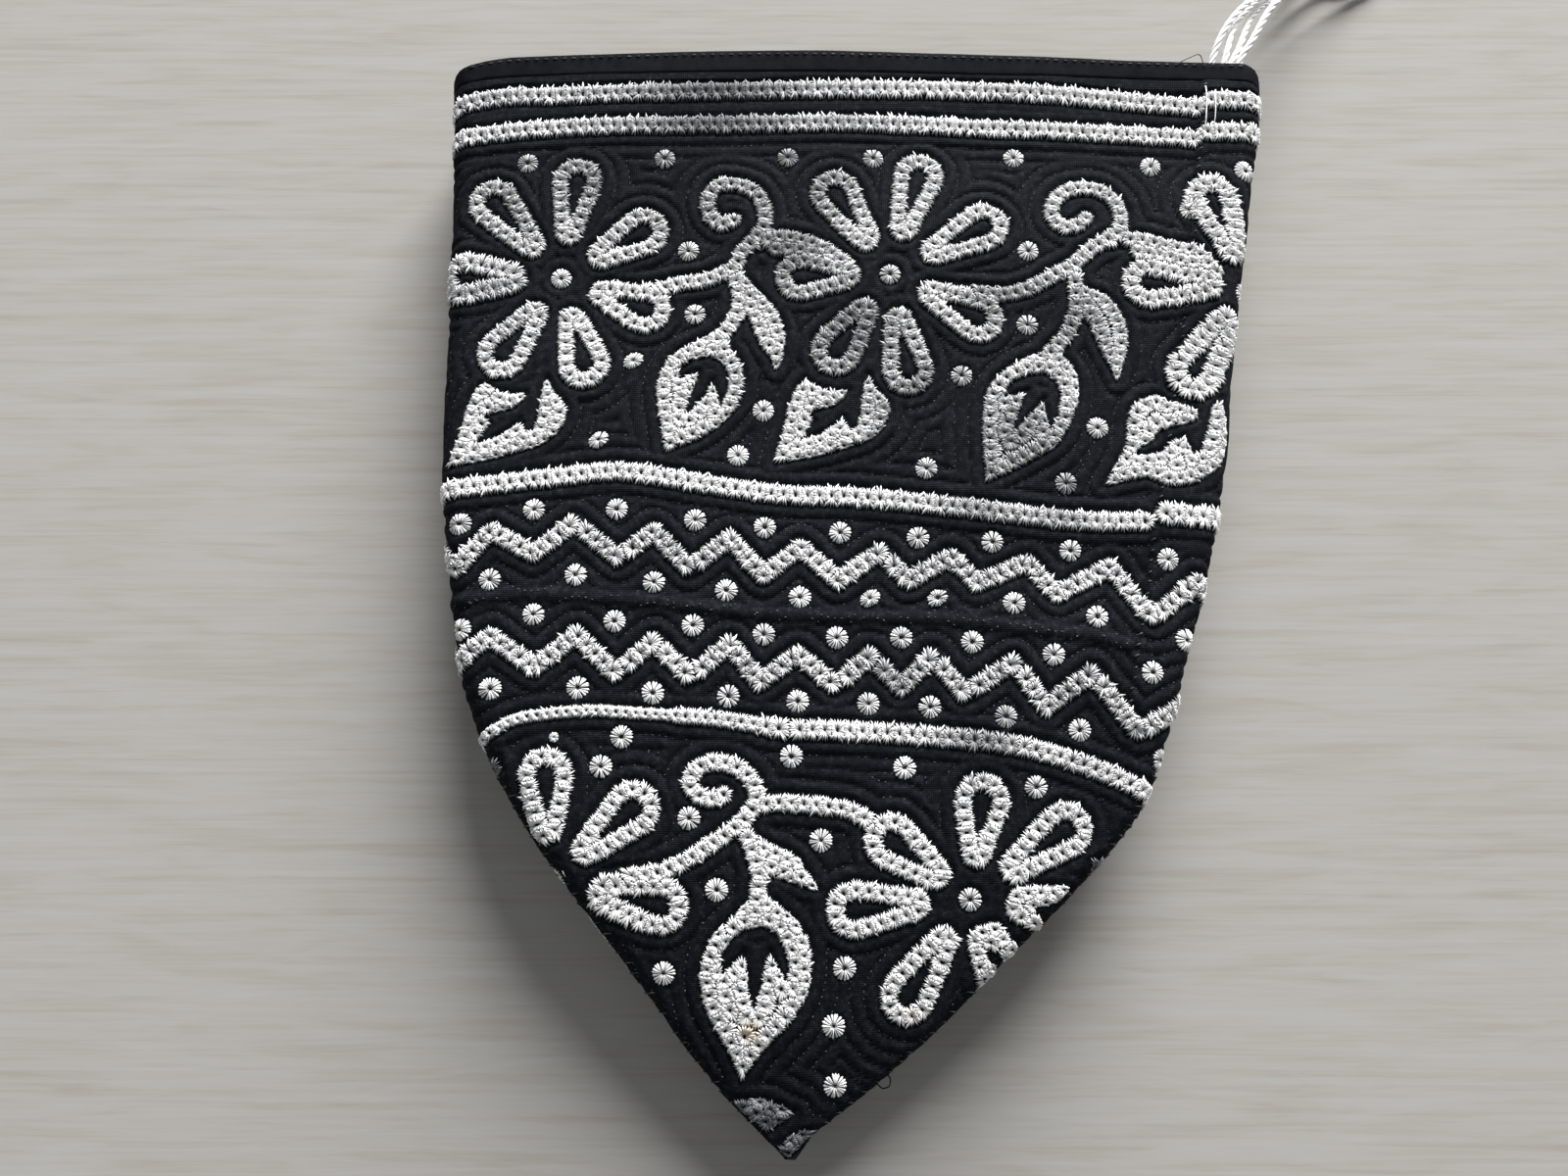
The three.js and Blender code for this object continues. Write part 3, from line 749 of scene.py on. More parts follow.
def petal_line(centre, angle_deg, near, far):
    """The closed line round one petal: two round ends joined by straight sides."""
    angle = math.radians(angle_deg)
    lean = math.asin((PETAL_FAR - PETAL_NEAR) / (far - near))
    half = math.pi / 2 + lean
    out = []
    for t in np.linspace(-half, half, 9):
        out.append((far + PETAL_FAR * math.cos(t), PETAL_FAR * math.sin(t)))
    for t in np.linspace(half, 2 * math.pi - half, 5):
        out.append((near + PETAL_NEAR * math.cos(t), PETAL_NEAR * math.sin(t)))
    turned = [(centre[0] + u * math.cos(angle) - v * math.sin(angle),
               centre[1] + u * math.sin(angle) + v * math.cos(angle)) for u, v in out]
    return np.array(turned)


class Pattern:
    """The embroidered shapes of one panel: strokes, filled outlines and dots, by group."""

    def __init__(self):
        self.strokes = []
        self.fills = []
        self.dots = []

    def stroke(self, group, line, half, closed=False):
        self.strokes.append((group, np.asarray(line, float), half, closed))

    def fill(self, group, outer, cut=None):
        cut = None if cut is None else np.asarray(cut, float)
        self.fills.append((group, np.asarray(outer, float), cut))

    def dot(self, group, x, y, radius=DOT_RADIUS, narrow=1.0):
        self.dots.append((group, x, y, radius, narrow))


def front_pattern():
    pattern = Pattern()
    for half, points in STRIPES.values():
        pattern.stroke("stripes", curve_through(points, step=4.0), half)
    for half, points in CROWN_STRIPES.values():
        pattern.stroke("stripes", curve_through(points, step=3.0), half)
    for points in ZIGZAGS.values():
        pattern.stroke("zigzags", points, ZIGZAG_HALF)
    for group, flowers in (("flowers", FLOWERS), ("crown", CROWN_FLOWERS)):
        for centre, petals in flowers.values():
            for petal in petals:
                half = petal[3] if len(petal) > 3 else PETAL_STROKE
                pattern.stroke(group, petal_line(centre, *petal[:3]), half, closed=True)
    for group, vines in (("flowers", VINES), ("crown", CROWN_VINES)):
        for points in vines.values():
            pattern.stroke(group, curve_through(points), VINE_STROKE)
    for group, fins in (("flowers", FINS), ("crown", CROWN_FINS)):
        for points in fins.values():
            pattern.fill(group, curve_through(points, closed=True))
    for group, shapes in (("flowers", LEAVES), ("crown", CROWN_LEAVES), ("crown", CUT_PETALS)):
        for outer, cut in shapes.values():
            pattern.fill(group, curve_through(outer, closed=True), cut)
    for points in INKED_PATCHES:
        pattern.fill("crown", points)
    leaf = curve_through(OPEN_LEAF, closed=True)
    for place in OPEN_LEAF_PLACES:
        pattern.fill("flowers", leaf + place)
    pattern.fill("flowers", curve_through(RIGHT_LEAF, closed=True))
    for x, y in DOTS + CROWN_DOTS:
        pattern.dot("dots", x, y, narrow=OVAL_NARROW if (x, y) in OVAL_DOTS else 1.0)
    for x, y in SMALL_DOTS:
        pattern.dot("dots", x, y, SMALL_DOT_RADIUS)
    return pattern


class Field:
    """A value on an even grid over the panel, read anywhere between its points."""

    def __init__(self, fill_value):
        self.nx = int(round(2 * FIELD_X / FIELD_STEP)) + 1
        self.ny = int(round(2 * FIELD_Y / FIELD_STEP)) + 1
        self.values = np.full((self.ny, self.nx), float(fill_value))

    def window(self, low, high):
        i0 = max(0, int((low[0] + FIELD_X) / FIELD_STEP))
        i1 = min(self.nx, int((high[0] + FIELD_X) / FIELD_STEP) + 2)
        j0 = max(0, int((low[1] + FIELD_Y) / FIELD_STEP))
        j1 = min(self.ny, int((high[1] + FIELD_Y) / FIELD_STEP) + 2)
        x = -FIELD_X + FIELD_STEP * np.arange(i0, i1)
        y = -FIELD_Y + FIELD_STEP * np.arange(j0, j1)
        return (slice(j0, j1), slice(i0, i1)), *np.meshgrid(x, y)

    def lower(self, low, high, make):
        """Takes the lesser of the field and make(x, y) inside a box."""
        if low[0] > FIELD_X or high[0] < -FIELD_X or low[1] > FIELD_Y or high[1] < -FIELD_Y:
            return
        where, x, y = self.window(low, high)
        self.values[where] = np.minimum(self.values[where], make(x, y))

    def lower_along(self, line, half=0.0):
        """Takes up the distance to a stroke of that half width along a line."""
        margin = half + FIELD_REACH
        for a, b in zip(line[:-1], line[1:]):
            self.lower(np.minimum(a, b) - margin, np.maximum(a, b) + margin,
                       lambda x, y: segment_distance(x, y, a, b) - half)

    def at(self, x, y):
        u = np.clip((np.asarray(x, float) + FIELD_X) / FIELD_STEP, 0, self.nx - 1.001)
        v = np.clip((np.asarray(y, float) + FIELD_Y) / FIELD_STEP, 0, self.ny - 1.001)
        i = u.astype(int)
        j = v.astype(int)
        fu = u - i
        fv = v - j
        g = self.values
        return ((g[j, i] * (1 - fu) + g[j, i + 1] * fu) * (1 - fv)
                + (g[j + 1, i] * (1 - fu) + g[j + 1, i + 1] * fu) * fv)


def segment_distance(x, y, a, b):
    ab = b - a
    length2 = max(float(ab @ ab), 1e-9)
    t = np.clip(((x - a[0]) * ab[0] + (y - a[1]) * ab[1]) / length2, 0, 1)
    return np.hypot(x - a[0] - t * ab[0], y - a[1] - t * ab[1])


def polygon_distance(x, y, points):
    """Signed distance to a closed outline, negative inside."""
    nearest = np.full(x.shape, 1e9)
    inside = np.zeros(x.shape, bool)
    for a, b in zip(points, np.roll(points, -1, axis=0)):
        nearest = np.minimum(nearest, segment_distance(x, y, a, b))
        crosses = (a[1] > y) != (b[1] > y)
        with np.errstate(divide="ignore", invalid="ignore"):
            hit = a[0] + (y - a[1]) * (b[0] - a[0]) / (b[1] - a[1])
        inside ^= crosses & (x < hit)
    return np.where(inside, -nearest, nearest)


def fill_distance(x, y, outer, cut):
    d = polygon_distance(x, y, outer)
    return d if cut is None else np.maximum(d, -polygon_distance(x, y, cut))


def dot_distance(x, y, x0, y0, radius, narrow):
    """Distance outside a dot, which may be a narrow oval with its long way up to the right."""
    lean = math.radians(OVAL_LEAN_DEG)
    along = (x - x0) * math.cos(lean) + (y - y0) * math.sin(lean)
    across = (y - y0) * math.cos(lean) - (x - x0) * math.sin(lean)
    return (np.hypot(along, across / narrow) - radius) * narrow


def motif_field(pattern, dots):
    """Signed distance to the nearest embroidered shape or to one of these dots, negative inside."""
    field = Field(FIELD_REACH)
    for _, line, half, closed in pattern.strokes:
        field.lower_along(np.vstack([line, line[:1]]) if closed else line, half)
    for _, outer, cut in pattern.fills:
        field.lower(outer.min(0) - FIELD_REACH, outer.max(0) + FIELD_REACH,
                    lambda x, y: fill_distance(x, y, outer, cut))
    for dot in dots:
        place = np.array(dot[1:3])
        field.lower(place - FIELD_REACH, place + FIELD_REACH, lambda x, y: dot_distance(x, y, *dot[1:]))
    return field


def cord_height(height, off_centre):
    """Height of a padding cord at a place off its centre, given as a share of its half width."""
    return height * np.clip(1 - off_centre ** 2, 0, 1) ** CORD_ROUNDNESS


def relief_field(motifs, quilted, ridges):
    """Height of the cloth above its grooves, from distances to motifs, quilted motifs and ridges."""
    inside = MOTIF_HEIGHT * smoothstep(-motifs.values, -0.15, 0.7)
    d = quilted.values
    pad = cord_height(PAD_HEIGHT, (d - QUILTING_GAP - PAD_WIDTH / 2) / (PAD_WIDTH / 2))
    share = np.mod(d - RIBS_FROM, RIB_PITCH) / RIB_PITCH
    quilting = np.where(d < RIBS_FROM, pad, cord_height(RIB_HEIGHT, 2 * share - 1))
    height = inside + (quilting - inside) * smoothstep(motifs.values, 0.0, 0.35)
    ridge = cord_height(RIDGE_HEIGHT, ridges.values / RIDGE_HALF)
    height = np.maximum(height, ridge * smoothstep(d, 0.0, 0.5))
    _, x, y = motifs.window((-FIELD_X, -FIELD_Y), (FIELD_X, FIELD_Y))
    fullness = 0.8 + 0.4 * lumps(x + 100, y + 100, 6.0, 3)
    relief = Field(0)
    relief.values = height * fullness + unevenness(x, y, PUCKERS, 100)
    return relief


def near_rim(height, distance, y):
    """The cloth's height at each wall y: flush with the tape's hem beside it, and lower under the tape."""
    hem = RIM_Y - BINDING_DEPTH
    flush = smoothstep(y, hem - 2.9, hem - 2.0) * smoothstep(distance, 0.0, 0.6)
    height = height + (RIM_BAND_HEIGHT - height) * flush
    return height + (UNDER_TAPE_HEIGHT - height) * smoothstep(y, hem + 0.2, hem + 0.9)


def contours(values, level, step=2):
    """Lines of equal value through a field's grid, as lists of places on the panel."""
    g = values[::step, ::step] - level
    g = np.where(g == 0, 1e-9, g)
    s = g > 0
    mixed = ~((s[:-1, :-1] == s[1:, :-1]) & (s[:-1, :-1] == s[:-1, 1:]) & (s[:-1, :-1] == s[1:, 1:]))
    links = {}
    for j, i in np.argwhere(mixed):
        sides = ((j, i, j, i + 1), (j, i + 1, j + 1, i + 1), (j + 1, i, j + 1, i + 1), (j, i, j + 1, i))
        cuts = [(j0, i0, kind % 2) for kind, (j0, i0, j1, i1) in enumerate(sides) if s[j0, i0] != s[j1, i1]]
        for a, b in zip(cuts[0::2], cuts[1::2]):
            links.setdefault(a, []).append(b)
            links.setdefault(b, []).append(a)

    def place(edge):
        j, i, upright = edge
        a = g[j, i]
        b = g[j + 1, i] if upright else g[j, i + 1]
        t = a / (a - b)
        x = -FIELD_X + FIELD_STEP * step * (i + (0 if upright else t))
        y = -FIELD_Y + FIELD_STEP * step * (j + (t if upright else 0))
        return x, y

    lines = []
    seen = set()
    starts = [e for e in links if len(links[e]) == 1] + list(links)
    for start in starts:
        if start in seen:
            continue
        line = [start]
        seen.add(start)
        while True:
            following = [e for e in links[line[-1]] if e not in seen]
            if not following:
                break
            seen.add(following[0])
            line.append(following[0])
        closed = len(line) > 2 and line[0] in links[line[-1]]
        lines.append((np.array([place(e) for e in line]), closed))
    return lines


def fill_eyelets(outer, cut):
    """Eyelets in rows that follow a filled shape's edge inward."""
    field = Field(FIELD_REACH)
    margin = 1.0
    field.lower(outer.min(0) - margin, outer.max(0) + margin, lambda x, y: fill_distance(x, y, outer, cut))
    found = []
    for depth in FILL_DEPTHS:
        pitch = EYELET_PITCH if depth > 1 else EYELET_PITCH / 4
        for line, closed in contours(field.values, -depth, step=1):
            found.append(resample(line, pitch, closed))
    return np.vstack(found)


def eyelets_of(pattern):
    """Centres of all eyelets with their group, in the order stitched, none too near an earlier one."""
    found = [(group, np.array([[x, y]])) for group, x, y, _, _ in pattern.dots]
    for group, line, half, closed in pattern.strokes:
        pitch = EYELET_PITCH if half > THIN_HALF else EYELET_PITCH * THIN_PITCH_SHARE
        found.append((group, resample(line, pitch, closed)))
    for group, outer, cut in pattern.fills:
        found.append((group, fill_eyelets(outer, cut)))
    centres = np.zeros((0, 2))
    groups = []
    for group, places in found:
        for p in places:
            if len(centres) and np.min(np.hypot(*(centres - p).T)) < LEAST_EYELET_PITCH:
                continue
            centres = np.vstack([centres, p])
            groups.append(group)
    return centres, np.array(groups)


def thread_lengths(centres, angles, motifs, fringe, rng):
    """How far each thread runs: to a neighbour's threads, the shape's edge or its own reach."""
    count = angles.shape[1]
    lengths = EYELET_REACH * rng.uniform(0.92, 1.06, angles.shape)
    border = np.zeros(angles.shape, bool)
    steps = np.arange(0.3, EYELET_REACH + 0.4, 0.1)
    for i, centre in enumerate(centres):
        directions = np.stack([np.cos(angles[i]), np.sin(angles[i])], axis=-1)
        delta = centres - centre
        away = np.abs(delta).max(1)
        near = (away < 2 * EYELET_REACH) & (away > 0)
        if near.any():
            toward = directions @ delta[near].T
            squared = (delta[near] ** 2).sum(1)[None]
            half_way = np.where(toward > 1e-6, squared / 2 / np.maximum(toward, 1e-6), OUT_OF_REACH)
            lengths[i] = np.minimum(lengths[i], half_way.min(1) + rng.uniform(-0.05, 0.12, count))
        spots = centre[None, None] + directions[:, None] * steps[None, :, None]
        outside = motifs.at(spots[..., 0], spots[..., 1]) > 0
        first = np.where(outside.any(1), steps[np.argmax(outside, axis=1)], OUT_OF_REACH)
        edge = first + FRINGE_REACH + fringe * rng.uniform(-0.9, 1.0, count)
        border[i] = edge < lengths[i]
        lengths[i] = np.minimum(lengths[i], edge)
    return lengths, border


def threads_of(places, heights, widths, roofs):
    """Points of threads in the panel's frame: for each a tip, its three-sided rings and a tip.

    places holds the stations of each thread, with a height for each and a width and a roof for each ring.
    """
    last = places.shape[1] - 1
    along = places[:, last] - places[:, 0]
    along = along / np.maximum(np.linalg.norm(along, axis=1, keepdims=True), 1e-6)
    side = np.stack([-along[:, 1], along[:, 0]], axis=-1)
    points = np.zeros((len(places), 3 * last - 1, 3))
    for k, corner in ((0, 0), (last, -1)):
        points[:, corner, :2] = places[:, k]
        points[:, corner, 2] = heights[:, k]
    for k in range(1, last):
        for j, (across, up) in enumerate(((1, 0), (-1, 0), (0, 1))):
            corner = 3 * k - 2 + j
            points[:, corner, :2] = places[:, k] + side * (across * widths[:, k - 1])[:, None]
            points[:, corner, 2] = heights[:, k] + up * roofs[:, k - 1]
    return points


def thread_faces(panel):
    """Quads and triangles of the threads whose points these are."""
    count, each = panel.shape[:2]
    rings = (each - 2) // 3
    quads = [(3 * k + 1 + j, 3 * k + 4 + j, 3 * k + 4 + (j + 1) % 3, 3 * k + 1 + (j + 1) % 3)
             for k in range(rings - 1) for j in range(3)]
    final = each - 4
    tris = [(0, 1 + j, 1 + (j + 1) % 3) for j in range(3)]
    tris += [(final + j, each - 1, final + (j + 1) % 3) for j in range(3)]
    starts = (np.arange(count) * each)[:, None, None]
    return ((np.array(quads, int).reshape(1, -1, 4) + starts).reshape(-1, 4),
            (np.array(tris)[None] + starts).reshape(-1, 3))


def add_piece(name, points, quads, tris, material, slot, normals=None, values=None, flip=False):
    """A piece of the cap from arrays in millimetres. values holds named numbers for each point."""
    mesh = bpy.data.meshes.new(name)
    quads = np.asarray(quads, np.int32).reshape(-1, 4)
    tris = np.asarray(tris, np.int32).reshape(-1, 3)
    if flip:
        quads = quads[:, ::-1]
        tris = tris[:, ::-1]
    corners = np.concatenate([quads.ravel(), tris.ravel()]).astype(np.int32)
    starts = np.concatenate([4 * np.arange(len(quads)), 4 * len(quads) + 3 * np.arange(len(tris))])
    mesh.vertices.add(len(points))
    mesh.vertices.foreach_set("co", (np.asarray(points) * MM).astype(np.float32).ravel())
    mesh.loops.add(len(corners))
    mesh.loops.foreach_set("vertex_index", corners)
    mesh.polygons.add(len(starts))
    mesh.polygons.foreach_set("loop_start", starts.astype(np.int32))
    mesh.polygons.foreach_set("use_smooth", np.ones(len(starts), bool))
    mesh.update(calc_edges=True)
    for key, numbers in (values or {}).items():
        attribute = mesh.attributes.new(key, "FLOAT", "POINT")
        attribute.data.foreach_set("value", np.asarray(numbers, np.float32))
    if normals is not None:
        mesh.normals_split_custom_set_from_vertices(normals.astype(np.float32))
    mesh.materials.append(material)
    piece = bpy.data.objects.new(name, mesh)
    bpy.context.scene.collection.objects.link(piece)
    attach(piece, "root")
    return piece


def grid_faces(rows, columns, offset=0):
    """Quads of a grid of points, counter-clockwise for columns to the right and rows upward."""
    index = offset + np.arange(rows * columns).reshape(rows, columns)
    corners = [index[:-1, :-1], index[:-1, 1:], index[1:, 1:], index[1:, :-1]]
    return np.stack(corners, axis=-1).reshape(-1, 4)


def edge_loop(rows, columns, offset=0):
    """Indices round a grid's edge, counter-clockwise."""
    index = offset + np.arange(rows * columns).reshape(rows, columns)
    return np.concatenate([index[0, :-1], index[:-1, -1], index[-1, :0:-1], index[:0:-1, 0]])


def closing_faces(outer, inner, share):
    """Triangles between a fine edge loop and a coarser one below it."""
    tris = []
    count = len(inner)
    for m in range(count):
        a = inner[m]
        b = inner[(m + 1) % count]
        fine = [outer[(m * share + j) % len(outer)] for j in range(share + 1)]
        half = (share + 1) // 2
        for j in range(share):
            tris.append((fine[j], a if j < half else b, fine[j + 1]))
        tris.append((fine[half], a, b))
    return np.array(tris)


def spaced(y_from, y_to, step, share):
    count = int(math.ceil(abs(y_to - y_from) / step / share)) * share
    return np.linspace(y_from, y_to, count + 1)


def breaks_to_lengths(breaks, steps, share, y):
    """Arc lengths of the grid's columns at each y, spaced evenly between the breaks."""
    at_y = [np.broadcast_to(b(y), y.shape) for b in breaks]
    columns = []
    for low, high, step in zip(at_y[:-1], at_y[1:], steps):
        count = int(math.ceil(np.max(high - low) / step / share)) * share
        columns.append(low[:, None] + (high - low)[:, None] * (np.arange(count) / count)[None])
    columns.append(at_y[-1][:, None])
    return np.hstack(columns)


def surface_normals(surface):
    """Normals of a surface, which is a function of a small step in length and one in height."""
    along = surface(NUDGE, 0.0) - surface(-NUDGE, 0.0)
    up = surface(0.0, NUDGE) - surface(0.0, -NUDGE)
    normal = np.cross(along, up)
    return (normal / np.maximum(np.linalg.norm(normal, axis=-1, keepdims=True), 1e-9)).reshape(-1, 3)


def cloth_piece(name, y, breaks, steps, height_at, material, share=LINING_SHARE, pressed=False):
    """A closed piece of the quilted wall between lengths along it: face, lining and cut edges."""
    s = breaks_to_lengths(breaks, steps, share, y)
    yy = np.broadcast_to(y[:, None], s.shape)
    s_in = s[::share, ::share]
    y_in = yy[::share, ::share]

    def face(ds, dy):
        points = wall_point(s + ds, yy + dy, height_at(s + ds, yy + dy))
        return settled(points) if pressed else points

    def lining(ds, dy):
        return wall_point(s_in + ds, y_in + dy, -WALL / 2)

    rough_lining = wall_point(s_in, y_in, -WALL / 2 + unevenness(s_in, y_in, LINING_LUMPS, 300))
    points = np.vstack([face(0.0, 0.0).reshape(-1, 3), rough_lining.reshape(-1, 3)])
    normals = np.vstack([surface_normals(face), -surface_normals(lining)])
    quads = np.vstack([grid_faces(*s.shape), grid_faces(*s_in.shape, s.size)[:, ::-1]])
    tris = closing_faces(edge_loop(*s.shape), edge_loop(*s_in.shape, s.size), share)
    piece = add_piece(name, points, quads, tris, material, "black_quilted_cotton", normals=normals)
    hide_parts("quilted_shell")


def principled(name, colour, roughness, sheen=0.0, specular=0.5):
    material = bpy.data.materials.new(name)
    material.use_nodes = True
    shader = material.node_tree.nodes["Principled BSDF"]
    shader.inputs["Base Color"].default_value = (*colour, 1)
    shader.inputs["Roughness"].default_value = roughness
    shader.inputs["Sheen Weight"].default_value = sheen
    shader.inputs["Sheen Roughness"].default_value = 0.5
    shader.inputs["Specular IOR Level"].default_value = specular
    return material, material.node_tree, shader


def noise_node(tree, vector, scale, detail, roughness=0.6, distortion=0.0):
    node = tree.nodes.new("ShaderNodeTexNoise")
    node.inputs["Scale"].default_value = scale
    node.inputs["Detail"].default_value = detail
    node.inputs["Roughness"].default_value = roughness
    node.inputs["Distortion"].default_value = distortion
    tree.links.new(vector, node.inputs["Vector"])
    return node.outputs["Fac"]


def object_place(tree):
    return tree.nodes.new("ShaderNodeTexCoord").outputs["Object"]


def ramp_node(tree, value, stops):
    node = tree.nodes.new("ShaderNodeValToRGB")
    for _ in range(len(stops) - 2):
        node.color_ramp.elements.new(0.5)
    for element, (place, colour) in zip(node.color_ramp.elements, stops):
        element.position = place
        element.color = (*colour, 1)
    tree.links.new(value, node.inputs["Fac"])
    return node.outputs["Color"]


def weave_height(tree, vector, thread_mm):
    """Crossing threads as a height, from two uneven waves."""
    scale = 2 * math.pi / (20 * thread_mm * MM)
    join = tree.nodes.new("ShaderNodeMath")
    join.operation = "MULTIPLY"
    for direction, socket in zip(("X", "Y"), join.inputs):
        wave = tree.nodes.new("ShaderNodeTexWave")
        wave.bands_direction = direction
        wave.inputs["Scale"].default_value = scale
        wave.inputs["Distortion"].default_value = 1.5
        wave.inputs["Detail"].default_value = 1.0
        wave.inputs["Detail Scale"].default_value = 0.4
        tree.links.new(vector, wave.inputs["Vector"])
        tree.links.new(wave.outputs["Fac"], socket)
    return join.outputs[0]


def add_bump(tree, shader, height, strength, distance_mm):
    bump = tree.nodes.new("ShaderNodeBump")
    bump.inputs["Strength"].default_value = strength
    bump.inputs["Distance"].default_value = distance_mm * MM
    tree.links.new(height, bump.inputs["Height"])
    tree.links.new(bump.outputs["Normal"], shader.inputs["Normal"])


def mixed(tree, share, first, second):
    """A colour between two others. Each is a socket or a plain colour."""
    node = tree.nodes.new("ShaderNodeMix")
    node.data_type = "RGBA"
    tree.links.new(share, node.inputs["Factor"])
    for socket, colour in ((node.inputs[6], first), (node.inputs[7], second)):
        if isinstance(colour, tuple):
            socket.default_value = (*colour, 1)
        else:
            tree.links.new(colour, socket)
    return node.outputs[2]


def attribute(tree, name):
    node = tree.nodes.new("ShaderNodeAttribute")
    node.attribute_name = name
    return node.outputs["Fac"]


def black_cotton():
    material, tree, shader = principled("black_cotton", (0.01, 0.01, 0.013), 0.75, specular=0.03)
    place = object_place(tree)
    mottling = noise_node(tree, place, 1100, detail=5, roughness=0.75)
    colour = ramp_node(tree, mottling, [
        (0.35, (0.0045, 0.005, 0.0072)), (0.52, (0.0071, 0.0078, 0.0106)), (0.68, (0.02, 0.0215, 0.026)),
    ])
    tree.links.new(colour, shader.inputs["Base Color"])
    add_bump(tree, shader, weave_height(tree, place, thread_mm=0.33), strength=0.8, distance_mm=0.09)
    return material


def black_tape():
    material, tree, shader = principled("black_tape", (0.006, 0.006, 0.008), 0.72, specular=0.02)
    place = object_place(tree)
    streaks = noise_node(tree, place, 500, detail=4)
    colour = ramp_node(tree, streaks, [
        (0.3, (0.0035, 0.0039, 0.0058)), (0.7, (0.0085, 0.0092, 0.0122)),
    ])
    tree.links.new(colour, shader.inputs["Base Color"])
    add_bump(tree, shader, weave_height(tree, place, thread_mm=0.4), strength=0.5, distance_mm=0.07)
    return material


def white_thread():
    """White cotton, darker with painted shade in the eyelet holes, greyed with painted shade and wear in
    patches, and marked by ink and stains in places.
    """
    material, tree, shader = principled("white_thread", (0.85, 0.84, 0.83), 0.55, sheen=0.1, specular=0.35)
    shade = attribute(tree, "shade")
    tone = ramp_node(tree, shade, [
        (0.0, (0.11, 0.115, 0.125)), (0.5, (0.72, 0.72, 0.73)), (0.8, (0.94, 0.935, 0.93)),
        (1.0, (0.97, 0.965, 0.96)),
    ])
    place = object_place(tree)
    blots = noise_node(tree, place, 700, detail=3)
    ink = ramp_node(tree, blots, [(0.35, (0.1, 0.107, 0.125)), (0.7, (0.39, 0.415, 0.45))])
    blotted = mixed(tree, shade, (0.035, 0.037, 0.042), ink)
    inked = mixed(tree, attribute(tree, "ink"), tone, blotted)
    stained = mixed(tree, attribute(tree, "stain"), inked, (0.55, 0.36, 0.15))
    tree.links.new(stained, shader.inputs["Base Color"])
    fibres = noise_node(tree, place, 5000, detail=2)
    add_bump(tree, shader, fibres, strength=0.4, distance_mm=0.05)
    return material


def dark_thread(name, low, high):
    material, tree, shader = principled(name, high, 0.55, specular=0.2)
    streaks = noise_node(tree, object_place(tree), 900, detail=2)
    colour = ramp_node(tree, streaks, [(0.35, low), (0.65, high)])
    tree.links.new(colour, shader.inputs["Base Color"])
    return material


def place_camera():
    """The camera stands over the cap, tilted towards its tip, with the rim at the picture's top."""
    tilt = math.radians(CAMERA_TILT_DEG)
    back = Vector((0, -math.sin(tilt), math.cos(tilt)))
    data = bpy.data.cameras.new("camera")
    data.lens = LENS_MM
    data.sensor_width = SENSOR_MM
    data.clip_start = 0.01
    camera = bpy.data.objects.new("camera", data)
    camera.location = (Vector(LOOK_AT) + back * CAMERA_DISTANCE) * MM
    camera.rotation_euler = (tilt, 0, 0)
    bpy.context.scene.collection.objects.link(camera)
    bpy.context.scene.camera = camera


def string_frames(path):
    """Directions across a path, carried along it without twist."""
    tangent = np.gradient(path, axis=0)
    tangent /= np.linalg.norm(tangent, axis=1, keepdims=True)
    across = np.zeros_like(path)
    first = np.cross(tangent[0], (0, 0, 1.0))
    across[0] = first / np.linalg.norm(first)
    for i in range(1, len(path)):
        v = across[i - 1] - tangent[i] * (across[i - 1] @ tangent[i])
        across[i] = v / np.linalg.norm(v)
    return tangent, across, np.cross(tangent, across)


def tube_points(centre, across, up, radius):
    turn = 2 * np.pi * np.arange(TUBE_SIDES) / TUBE_SIDES
    ring = across[:, None] * np.cos(turn)[None, :, None] + up[:, None] * np.sin(turn)[None, :, None]
    return centre[:, None] + ring * radius


def joined_tubes(tubes):
    """Points and faces of several closed tubes, each given as rings of points."""
    quads, tris = [], []
    offset = 0
    for tube in tubes:
        rings = len(tube)
        index = offset + np.arange(rings * TUBE_SIDES).reshape(rings, TUBE_SIDES)
        beside = np.roll(index, -1, axis=1)
        quads.append(np.stack([index[:-1], beside[:-1], beside[1:], index[1:]], axis=-1).reshape(-1, 4))
        tris += [(index[0, 0], index[0, j + 1], index[0, j]) for j in range(1, TUBE_SIDES - 1)]
        tris += [(index[-1, 0], index[-1, j], index[-1, j + 1]) for j in range(1, TUBE_SIDES - 1)]
        offset += rings * TUBE_SIDES
    return np.vstack([tube.reshape(-1, 3) for tube in tubes]), np.vstack(quads), np.array(tris)


def make_string(name, material):
    """Four soft plies, loosely twisted round the string's own line."""
    ply_offset = 0.5 * STRING_DIAMETER - PLY_RADIUS
    line = resample(curve_through(STRING_ROUTES[name], step=STRING_STEP), STRING_STEP)
    _, across, up = string_frames(line)
    turn = 2 * np.pi * np.arange(len(line)) * STRING_STEP / TWIST_LENGTH
    tubes = []
    for ply in range(PLIES):
        angle = turn + 2 * np.pi * ply / PLIES
        outward = across * np.cos(angle)[:, None] + up * np.sin(angle)[:, None]
        tubes.append(tube_points(line + outward * ply_offset, across, up, PLY_RADIUS))
    points, quads, tris = joined_tubes(tubes)
    shade = 0.75 + unevenness(points[:, 0], points[:, 1], STRING_LUMPS, 50)
    piece = add_piece(name + "_twist", points, quads, tris, material, "white_cotton_thread",
                      values={"shade": shade})
    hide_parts(name)


def inside_share(x, y, patches):
    """One where a place lies in any of the patches, and nought elsewhere."""
    marked = np.zeros(x.shape)
    for points in patches:
        marked = np.maximum(marked, polygon_distance(x, y, np.array(points)) < 0.3)
    return marked


